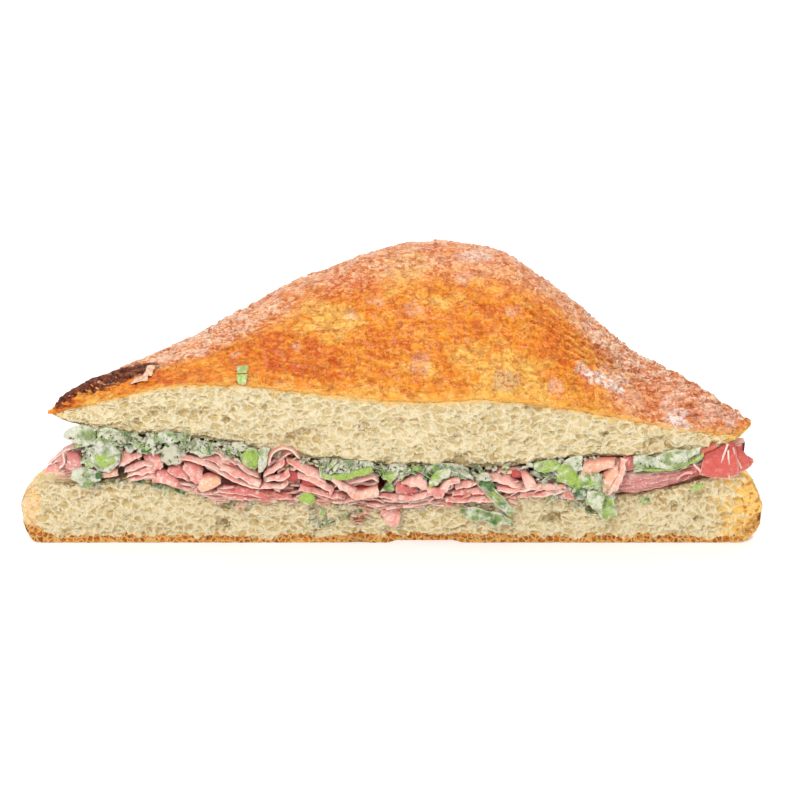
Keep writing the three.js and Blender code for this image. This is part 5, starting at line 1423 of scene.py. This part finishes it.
def make_leaves(finish):
    core = core_material(finish)

    def low(x):
        return mix(CUT["bed"](x) + 0.6, CUT["ham_top"](x) + 0.6, smooth((x + 84) / 2.5))

    def high(x):
        return np.maximum(CUT["lid_under"](x) - 0.4, low(x) + 0.5)
    for name, node, left, right, count in (("packed_salad", "salad_left", -89.5, -41, 200),
                                           ("packed_lettuce", "lettuce_mid", -22.5, 27, 180),
                                           ("lettuce_side", "lettuce_right", 42, 53, 60)):
        # The cores are set back and painted mostly as shade behind the loose leaves.
        made = band_between(low, high, left, right, count, 0.3, 30, 12.0, recess=2.6)
        add_piece(name, made, core, "greens", node)
    lettuce = green_leaf(finish, "lettuce leaf")
    for name, node, start, end, width, ruffle, shade in (
            ("strip_leaf", "leaf_strip", (26, 23.0, -3.0), (36, 12.4, -3.7), 3.6, 0.25, 0.55),
            ("frilled_leaf", "leaf_frilled", (56.2, 27.5, -1.2), (65.5, 10.5, -3.4), 7, 1.3, 0.8),
            ("low_leaf", "leaf_low", (20.5, 12.2, -1.6), (36, 8, -1.8), 4.6, 0.7, 0.5)):
        points, faces, values = hung_leaf(start, end, width, ruffle, len(name) * 1.7)
        values["shade"], values["coat"] = shade, 0.35
        add_piece(name, (points, faces, values), lettuce, "greens", node)

    def rib_low(x):
        return CUT["broad_high"](x) + 0.5

    def rib_high(x):
        return np.maximum(np.minimum(CUT["lid_under"](x) - 0.4, CUT["broad_high"](x) + 5.6), rib_low(x) + 0.7)
    rib = leaf_material(finish, "lettuce rib", finish.rib, finish.rib_edge, finish.leaf_film)
    made = band_between(rib_low, rib_high, 70.5, 93, 110, 1.0, 30, 3.0)
    made[2]["coat"], made[2]["across"] = 0.35, 0.5
    made[2]["shade"] = 0.1 + 1.1 * smooth(made[2]["height"] * 2.2)
    add_piece("pale_rib", made, rib, "rib", "lettuce_rib")
    parts = []
    for index, (low_edge, high_edge, y_low, y_high, bright, coat) in enumerate(LEAVES):
        points, faces, values = loose_sheet(low_edge, high_edge, y_low, y_high, 50 + index * 1.9,
                                            LEAF_THICKNESS, 0.4, 0.5, 0.42)
        parts.append((points, faces, {"across": values["across"], "shade": bright, "coat": coat}))
    add_piece("loose_leaves", many(parts), lettuce, "greens")


def make_topping(bread, finish):
    """The curled flake by the scorched tip and the leaf bit caught on the crust."""
    parts = []
    for low, high, y_low, y_high in (
            ([(-76.4, 51), (-73.5, 51.9), (-71, 52.2)], [(-75.2, 51.1), (-73, 52.1), (-71.2, 52.3)], 5.8, 9.4),
            ([(-72.9, 52.1), (-71.6, 52.3), (-70.2, 52.2)], [(-72.2, 52.2), (-71, 52.5), (-69.6, 52.3)],
             8.8, 15)):
        points, faces, values = loose_sheet(low, high, y_low, y_high, 4.0, 0.3, 0.2, 0.3, 0.3)
        parts.append((points, faces, {"rim": 0.0, "bake": -0.4, "rosy": 1.0, "flour": 0.3, "tone": 0.6}))
    add_piece("curled_flake", many(parts), crust_material(bread), "crust")
    green = green_leaf(finish, "caught leaf")
    parts = []
    for low, high, y_low, y_high, bright in (
            ([(-44.7, 55.9), (-43.3, 56.2), (-41.8, 56.3)], [(-44.9, 56.6), (-43.2, 56.8), (-41.6, 57)],
             3.4, 6.6, 0.7),
            ([(-44.2, 54.6), (-42.8, 54.6), (-41.8, 54.7)], [(-44.7, 56), (-42.8, 56.2), (-41.6, 56.3)],
             -0.6, 2.6, 1.0)):
        points, faces, values = loose_sheet(low, high, y_low, y_high, 8.0 + bright, LEAF_THICKNESS,
                                            0.2, 0.3, 0.3)
        parts.append((points, faces, {"across": values["across"], "shade": bright, "coat": 0.15}))
    add_piece("caught_leaf", many(parts), green, "greens")


def blob(middle, half, seed, rows, count, lumps):
    """A closed lumpy ball."""
    down = np.linspace(0, np.pi, rows + 2)[1:-1, None]
    turn = np.linspace(0, 2 * np.pi, count, endpoint=False)[None]
    n = np.stack([np.sin(down) * np.cos(turn), np.sin(down) * np.sin(turn), np.cos(down) + 0 * turn], -1)
    swell = 1 + lumps * noise(n[..., 0] * 2.1 + seed, n[..., 1] * 2.1, n[..., 2] * 2.1)
    swell += lumps / 2 * noise(n[..., 0] * 4.7, n[..., 1] * 4.7 + seed, n[..., 2] * 4.7)
    points = np.array(middle, float) + n * np.array(half, float) * swell[..., None]
    return points.reshape(-1, 3), tube_faces(rows, count), {}


def bits_tree():
    """Sets one of a few small bits at each point, turned and sized by the point's own values."""
    tree, g, given, out = shape_tree("bits set on points", "Bit Size", Bits="Collection")
    kinds = g.node("GeometryNodeCollectionInfo", {"Collection": given["Bits"], "Separate Children": True,
                                                  "Reset Children": True}).outputs[0]
    put = g.node("GeometryNodeInstanceOnPoints", {
        "Points": given["Geometry"], "Instance": kinds, "Pick Instance": True,
        "Instance Index": stored(g, "kind", "INT"), "Rotation": stored(g, "turn", "FLOAT_VECTOR"),
        "Scale": g.scaled(stored(g, "size", "FLOAT_VECTOR"), given["Bit Size"])})
    close_tree(g, put.outputs[0], given["Material"], out)
    return tree


def strewn(chance, count, left, right, line, spread, near, far):
    """Places around a line of the cut face, between two depths."""
    x = chance.uniform(left, right, count)
    return np.stack([x, chance.uniform(near, far, count), line(x) + chance.normal(0, spread, count)], 1)


def strewn_all(chance, regions):
    """Places of several regions, drawn one region after the other."""
    return np.concatenate([strewn(chance, *region) for region in regions])


def bits_piece(name, tree, kinds, places, sizes, values, material, slot, lean, seed):
    """A piece of many small bits: kinds are shapes of about a millimetre, sizes are (low, high) factors."""
    chance = np.random.RandomState(seed)
    n = len(places)
    mesh = bpy.data.meshes.new(name)
    mesh.from_pydata(((places + [0, CUT_PLANE, 0]) * MM).tolist(), [], [])
    turn = chance.uniform(-1, 1, (n, 3)) * lean
    low, high = (np.array(v, float) for v in sizes)
    size = low + (high - low) * chance.uniform(0, 1, (n, 1)) * chance.uniform(0.75, 1.25, (n, 3))
    for key, data in (("turn", turn), ("size", size)):
        layer = mesh.attributes.new(key, "FLOAT_VECTOR", "POINT")
        layer.data.foreach_set("vector", data.ravel().astype(np.float32))
    chosen = chance.randint(0, len(kinds), n).astype(np.int32)
    mesh.attributes.new("kind", "INT", "POINT").data.foreach_set("value", chosen)
    for key, (least, most) in values.items():
        data = chance.uniform(least, most, n).astype(np.float32)
        mesh.attributes.new(key, "FLOAT", "POINT").data.foreach_set("value", data)
    obj = new_object(name, mesh)
    shelf = bpy.data.collections.new(name)
    made = []
    for index, (points, faces, more) in enumerate(kinds):
        bit = solid_piece(f"{name}_bit_{index}", points, faces, more, local=True)
        bpy.context.scene.collection.objects.unlink(bit)
        shelf.objects.link(bit)
        made.append(bit)
    grow(obj, tree, bits=shelf, bit_size=1.0, material=material)
    bpy.data.collections.remove(shelf)
    for bit in made:
        spent = bit.data
        bpy.data.objects.remove(bit)
        bpy.data.meshes.remove(spent)
    finish_piece(obj, slot)


def shred(length, width, bend, seed):
    """A curled shred of leaf or meat."""
    def surface(u, v):
        girth = width * (1 + 0.3 * noise(v * 3, seed)) * (0.5 + 0.5 * np.sin(np.pi * (0.12 + 0.8 * clamp01(v))))
        lift = bend * np.sin(np.pi * v + seed) + 0.5 * bend * (2 * u - 1) ** 2
        return np.stack([(v - 0.5) * length, (u - 0.5) * girth, lift], -1)
    points, faces, values = sheet(surface, 2, 6, 0.28)
    return points, faces, {"across": values["across"]}


def middle_line(x):
    return 0.5 * (CUT["ham_top"](x) + CUT["lid_under"](x))


def make_dressing(finish, tree):
    cream = dressing_material(finish)
    parts = []
    for index, (x, y, z, across, out, up, green) in enumerate(DABS):
        points, faces, _ = blob((x, y, z), (across, out, up), index * 3.7, 18, 26, 0.3)
        parts.append((points, faces, {"shade": green}))
    add_piece("dressing_dabs", many(parts), cream, "greens")
    chance = np.random.RandomState(7)
    under, bed = CUT["lid_under"], CUT["bed"]
    places = strewn_all(chance, [
        (70, -90, 64, lambda x: under(x) - 0.4, 0.5, -1.0, 0.6),
        (60, -96, 66, lambda x: bed(x) - 0.7, 0.7, -0.6, 0.3),
        (50, -91, -58, middle_line, 1.8, -2.2, 0),
        (30, -58, -40, middle_line, 1.0, -1.8, 0),
        (30, -22, 27, middle_line, 0.9, -2.0, 0),
        (40, 44, 67, lambda x: bed(x) + 4, 2.6, -2.6, -0.6),
        (16, -30, -1, lambda x: 8.5 + 0 * x, 2.6, -0.1, 0.3),
        (8, 20, 36, lambda x: 10 + 0 * x, 1.8, -0.1, 0.3)])
    kinds = [blob((0, 0, 0), (0.75, 0.6, 0.6), k * 5.1, 5, 8, 0.5) for k in range(3)]
    bits_piece("dressing_drops", tree, kinds, places, ((0.8, 0.6, 0.7), (2.0, 1.1, 1.3)),
               {"shade": (-0.2, 0.8)}, cream, "greens", (0.4, 0.4, 3.1), 11)
    pepper = []
    for x, y, z, across, out, up, _ in DABS:
        angle, reach = chance.uniform(0, 6.3, 7), np.sqrt(chance.uniform(0, 0.5, 7))
        dx, dz = np.cos(angle) * reach, np.sin(angle) * reach
        front = y - out * 1.02 * np.sqrt(1 - dx ** 2 - dz ** 2)
        pepper.append(np.stack([x + dx * across, front, z + dz * up], 1))
    for low, high, y_low, y_high, _, coat in LEAVES:
        if coat >= COATED_AT:
            share = chance.uniform(0.2, 0.8, (4, 1))
            line = [mix(np.array(edge[0]), np.array(edge[-1]), share) for edge in (low, high)]
            spot = mix(*line, chance.uniform(0.2, 0.8, (4, 1)))
            pepper.append(np.stack([spot[:, 0], np.full(4, min(y_low, y_high) - 0.35), spot[:, 1]], 1))
    kinds = [blob((0, 0, 0), (0.3, 0.22, 0.24), k * 2.3, 3, 5, 0.5) for k in range(2)]
    bits_piece("pepper_specks", tree, kinds, np.concatenate(pepper), ((0.5,) * 3, (1.1,) * 3), {},
               pepper_material(finish), "greens", (3, 3, 3), 12)


def make_bits(bread, finish, tree):
    """Shreds of leaf among the folds and on the bread, shreds of ham, and loose crumbs."""
    chance = np.random.RandomState(21)
    under, bed = CUT["lid_under"], CUT["bed"]
    lettuce = green_leaf(finish, "shredded lettuce")
    kinds = [shred(*kind) for kind in ((2.6, 1.1, 0.35, 1), (1.8, 1.3, 0.3, 4), (3.4, 0.8, 0.5, 7),
                                       (1.2, 1.0, 0.2, 9))]
    places = strewn_all(chance, [
        (150, -92, -58, middle_line, 1.9, -2.6, 0),
        (70, -58, -40, middle_line, 1.0, -2.2, 0),
        (80, -41, 60, lambda x: under(x) - 0.9, 0.6, -1.8, 0.5),
        (90, -22, 27, middle_line, 0.8, -2.6, 0),
        (130, 43, 67, lambda x: bed(x) + 5, 2.6, -3.0, -0.6),
        (20, -26, -6, lambda x: 8.5 + 0 * x, 2.2, -0.9, -0.6),
        (12, 56, 67, lambda x: 11 + 0 * x, 1.6, -0.9, -0.6),
        (20, -86, -40, lambda x: bed(x) - 0.5, 0.8, -1.3, -0.7)])
    bits_piece("lettuce_shreds", tree, kinds, places, ((0.6,) * 3, (1.5, 1.5, 1.2)),
               {"shade": (0, 1.1), "coat": (0, 1)}, lettuce, "greens", (1.3, 1.0, 3.1), 31)
    meat = ham_material(finish, "shredded ham")
    places = strewn_all(chance, [
        (120, -64, 56, lambda x: bed(x) + 2.4, 1.6, -3.4, -0.8),
        (30, -98, -88, lambda x: bed(x) + 5.5, 2.0, -2.0, -0.4),
        (6, -14, 2, lambda x: 9.5 + 0 * x, 1.5, -0.9, -0.6)])
    kinds = [shred(3.2, 1.0, 0.35, 2), shred(2.2, 1.4, 0.3, 5), shred(4.2, 0.8, 0.3, 8)]
    bits_piece("ham_shreds", tree, kinds, places, ((0.7,) * 3, (1.5, 1.5, 1.5)),
               {"shade": (0, 0.9), "warm": (0, 0.3), "edge": (0, 0.8), "along": (0, 60)}, meat, "ham",
               (0.5, 0.5, 0.5), 32)
    places = strewn(chance, 90, -96, 96, lambda x: bed(x) - 0.2, 0.5, -0.9, 0.2)
    kinds = [blob((0, 0, 0), (0.5, 0.45, 0.4), k * 1.7, 4, 6, 0.8) for k in range(3)]
    bits_piece("loose_crumbs", tree, kinds, places, ((0.6,) * 3, (1.6,) * 3), {"ridge": (0.2, 1)},
               crumb_material(bread, "loose crumb"), "bread", (3, 3, 3), 33)


# Stage
def make_stage(stage):
    mesh = bpy.data.meshes.new("floor")
    h = stage.floor_size / 2
    mesh.from_pydata([(-h, -h, 0), (h, -h, 0), (h, h, 0), (-h, h, 0)], [], [(0, 1, 2, 3)])
    floor = new_object("floor", mesh)
    material, g, shader, _ = new_material("pale floor")
    surfaced(g, shader, opaque(stage.floor_colour), 0.9,
             {"Emission Color": WHITE, "Emission Strength": stage.floor_glow, "Specular IOR Level": 0.1})
    mesh.materials.append(material)
    floor.location.z = -FLOOR_GAP * MM
    scene = bpy.context.scene
    scene.world = bpy.data.worlds.new("studio")
    scene.world.use_nodes = True
    sky = scene.world.node_tree.nodes["Background"]
    sky.inputs["Color"].default_value = WHITE
    sky.inputs["Strength"].default_value = stage.sky
    for name, place, size, power in (("window", (-0.35, -0.75, 0.95), 0.32, stage.light),
                                     ("overhead", (0.2, 0.45, 1.0), 0.4, stage.light * 0.8)):
        light = bpy.data.lights.new(name, "AREA")
        light.shape, light.size, light.energy = "SQUARE", size, power
        lamp = new_object(name, light)
        lamp.location = place
        aim = Vector((0.0, 0.0, 0.03)) - lamp.location
        lamp.rotation_euler = aim.to_track_quat("-Z", "Y").to_euler()
    scene.view_settings.view_transform = "Standard"
    data = bpy.data.cameras.new("camera")
    data.lens, data.sensor_width = CAMERA_LENS, CAMERA_SENSOR
    camera = new_object("camera", data)
    target = Vector([v * MM for v in CAMERA_AIM])
    camera.location = target + CAMERA_AWAY * MM * Vector((0, -math.cos(CAMERA_TILT), math.sin(CAMERA_TILT)))
    camera.rotation_euler = (math.pi / 2 - CAMERA_TILT, 0, 0)
    data.clip_start = 0.01
    scene.camera = camera


# Add-on
def tint(label, description, code):
    return bpy.props.FloatVectorProperty(name=label, description=description, default=colour(code),
                                         subtype="COLOR", min=0.0, max=1.0)


def length(label, description, default):
    return bpy.props.FloatProperty(name=label, description=description, default=default, min=0.05, max=30.0)


class BreadFinish(bpy.types.PropertyGroup):
    crumb: tint("Crumb", "Colour of the crumb's walls", "DAC492")
    crumb_shade: tint("Crumb shade", "Second colour of the crumb's walls", "D0B884")
    # Colour inside the pores, painted as shade the deeper a pit goes; also used for small random specks.
    pore_and_shade: tint("Pore", "Colour inside the pores", "C2A264")
    # Light colour painted on the crumb's thin walls as highlight.
    strand: tint("Strands", "Thin walls that stand out of the crumb", "EEE1BE")
    moist_crumb: tint("Moist crumb", "Crumb close to the crust", "ECBD70")
    crust_pale: tint("Pale crust", "Crust baked least", "FFCB62")
    crust_gold: tint("Golden crust", "Crust baked well", "F78E0C")
    crust_deep: tint("Deep crust", "Crust baked most", "DB5800")
    # Rosy tone of the upper slopes, partly a painted sheen of glancing reflection.
    crust_rosy: tint("Rosy crust", "Crust on the loaf's upper slopes", "D9824A")
    crust_dark: tint("Dark crust", "Crust at the scorched tip", "400F03")
    crust_brown: tint("Brown crust", "Brown places of the scorched tip", "8A3B16")
    crust_sheen: tint("Sheen of the tip", "Pale glints of the scorched tip", "BC7C55")
    # Colour of the creases, also painted as shade into the gaps between flakes and on their sunken sides.
    crust_crease: tint("Creases", "Creases between the flakes", "AE4A0C")
    crust_tan: tint("Tanned blister", "The broad blister at the front edge", "D9B078")
    crust_glint: tint("Golden flakes", "Raised flakes of the golden crust", "FBAB38")
    # Pale pink flakes, also painted as highlight on the flakes' raised sides.
    crust_flake: tint("Flakes", "Raised flakes of the crust", "FCD6B6")
    crust_rim: tint("Crust edge", "Cut edge of the crust", "F3B04C")
    # Whitish colour of the dusted places, also used for painted highlights on the crust.
    flour: tint("Flour", "Dusted places", "F8E9DF")
    bottom_pale: tint("Pale bottom crust", "Bottom crust baked least", "CC7F2E")
    bottom_lace: tint("Bottom crust lace", "Pale strands of the bottom crust", "F0C073")
    bottom_brown: tint("Brown bottom crust", "Bottom crust baked most", "8E4D17")
    rind: tint("Rind", "Pale rind at the ends of the base", "EFD3A4")
    honey_rind: tint("Honey rind", "Rind at the right end of the base", "FFCB58")
    cell_size: length("Cell size", "Width of the crumb's fine cells in millimetres", 2.5)
    bubble_size: length("Bubble size", "Spacing of the crumb's bubbles in millimetres", 3.8)
    pore_depth: length("Pore depth", "How deep the pores are, as a share", 0.85)
    flake_size: length("Flake size", "Width of the crust's flakes in millimetres", 3.0)
    flake_height: length("Flake height", "Height of the crust's flakes in millimetres", 0.34)
    blister_height: length("Blister height", "Height of the crust's blisters in millimetres", 0.45)


class FillingFinish(bpy.types.PropertyGroup):
    ham_thickness: length("Ham thickness", "Thickness of a slice in millimetres", 1.1)
    ham: tint("Ham", "Colour of the ham", "F3C5B3")
    ham_rosy: tint("Rosy ham", "Second colour of the ham", "EBA091")
    ham_deep: tint("Deep ham", "Redder places of the ham", "D8716A")
    ham_warm: tint("Browned ham", "Ham with a browned or fatty surface", "EFB78C")
    ham_dusky: tint("Dusky ham", "Ham of the broad slice", "CF8680")
    ham_red: tint("Red ham", "Red end of the broad slice", "CE4335")
    ham_fat: tint("Fat", "Fat in the ham", "F8E2D3")
    ham_edge: tint("Ham edge", "Cut edges of the slices", "FAE0D1")
    # Deep red painted as shade between the folds, also used for small flecks.
    ham_hollow: tint("Ham hollow", "Ham deep between the folds", "B23A34")
    leaf_bright: tint("Bright leaf", "Young leaves", "A0BB4E")
    leaf_dark: tint("Dark leaf", "Older leaves", "3E652E")
    leaf_film: tint("Coated leaf", "Leaves under a film of dressing", "DDDBC9")
    leaf_grey: tint("Wet leaf", "Leaf that shows through the dressing", "8C9A66")
    leaf_pale: tint("Leaf vein", "Veins and pale leaves", "C4D092")
    rib: tint("Lettuce rib", "Pale rib of the lettuce", "CDD5B0")
    rib_edge: tint("Rib edge", "Green lower edge of the rib", "A9C95E")
    dressing: tint("Dressing", "Cream dressing", "C5C2AA")
    # Painted shade of the deep places in the salad.
    salad_shadow: tint("Salad shade", "Deep places in the salad", "33301E")
    pepper: tint("Pepper", "Ground pepper", "2B2018")


class StageFinish(bpy.types.PropertyGroup):
    floor_colour: tint("Floor", "Colour of the floor", "F4F4F4")
    floor_size: bpy.props.FloatProperty(name="Floor size", description="Width of the floor", default=6.0,
                                        unit="LENGTH")
    floor_glow: bpy.props.FloatProperty(name="Floor glow", description="Light of the floor itself",
                                        default=0.14)
    sky: bpy.props.FloatProperty(name="Sky", description="Brightness of the surroundings", default=0.8, min=0.0)
    light: bpy.props.FloatProperty(name="Light", description="Power of the window light", default=6.6,
                                   unit="POWER")


class SANDWICH_OT_bread(bpy.types.Operator):
    """Make the lid and the base with their crumb and crust"""
    bl_idname = "sandwich.bread"
    bl_label = "Bread"

    def execute(self, context):
        finish = context.scene.sandwich_bread
        crumb, pores = crumb_material(finish), crumb_tree()
        make_lid_crumb(finish, crumb, pores)
        make_base(finish, crumb, pores)
        make_lid_crust(finish, crust_material(finish), crust_tree())
        return {"FINISHED"}


class SANDWICH_OT_ham(bpy.types.Operator):
    """Make the folded, long, hanging and broad slices of ham"""
    bl_idname = "sandwich.ham"
    bl_label = "Ham"

    def execute(self, context):
        make_ham(context.scene.sandwich_filling)
        return {"FINISHED"}


class SANDWICH_OT_leaves(bpy.types.Operator):
    """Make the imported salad, the lettuce and the loose leaves"""
    bl_idname = "sandwich.leaves"
    bl_label = "Leaves"

    def execute(self, context):
        make_leaves(context.scene.sandwich_filling)
        make_topping(context.scene.sandwich_bread, context.scene.sandwich_filling)
        return {"FINISHED"}


class SANDWICH_OT_dressing(bpy.types.Operator):
    """Make the cream dressing and its pepper"""
    bl_idname = "sandwich.dressing"
    bl_label = "Dressing"

    def execute(self, context):
        make_dressing(context.scene.sandwich_filling, bits_tree())
        return {"FINISHED"}


class SANDWICH_OT_bits(bpy.types.Operator):
    """Strew shreds of lettuce and ham and loose crumbs"""
    bl_idname = "sandwich.bits"
    bl_label = "Shreds and crumbs"

    def execute(self, context):
        make_bits(context.scene.sandwich_bread, context.scene.sandwich_filling, bits_tree())
        return {"FINISHED"}


class SANDWICH_OT_stage(bpy.types.Operator):
    """Make the floor, the lights and the camera"""
    bl_idname = "sandwich.stage"
    bl_label = "Stage"

    def execute(self, context):
        make_stage(context.scene.sandwich_stage)
        return {"FINISHED"}


class SANDWICH_PT_panel(bpy.types.Panel):
    bl_idname = "SANDWICH_PT_panel"
    bl_label = "Sandwich"
    bl_space_type = "VIEW_3D"
    bl_region_type = "UI"
    bl_category = "Sandwich"

    def draw(self, context):
        for label in ("stage", "bread", "ham", "leaves", "dressing", "bits"):
            self.layout.operator(f"sandwich.{label}")
        for group in ("sandwich_bread", "sandwich_filling", "sandwich_stage"):
            settings = getattr(context.scene, group)
            box = self.layout.box()
            for name in settings.__annotations__:
                box.prop(settings, name)


CLASSES = (BreadFinish, FillingFinish, StageFinish, SANDWICH_OT_bread, SANDWICH_OT_ham, SANDWICH_OT_leaves,
           SANDWICH_OT_dressing, SANDWICH_OT_bits, SANDWICH_OT_stage, SANDWICH_PT_panel)


def register():
    for cls in CLASSES:
        bpy.utils.register_class(cls)
    bpy.types.Scene.sandwich_bread = bpy.props.PointerProperty(type=BreadFinish)
    bpy.types.Scene.sandwich_filling = bpy.props.PointerProperty(type=FillingFinish)
    bpy.types.Scene.sandwich_stage = bpy.props.PointerProperty(type=StageFinish)


def unregister():
    for name in ("sandwich_bread", "sandwich_filling", "sandwich_stage"):
        delattr(bpy.types.Scene, name)
    for cls in reversed(CLASSES):
        bpy.utils.unregister_class(cls)


def main():
    register()
    bpy.ops.sandwich.stage()
    bpy.ops.sandwich.bread()
    bpy.ops.sandwich.ham()
    bpy.ops.sandwich.leaves()
    bpy.ops.sandwich.dressing()
    bpy.ops.sandwich.bits()


if __name__ == "__main__":
    main()
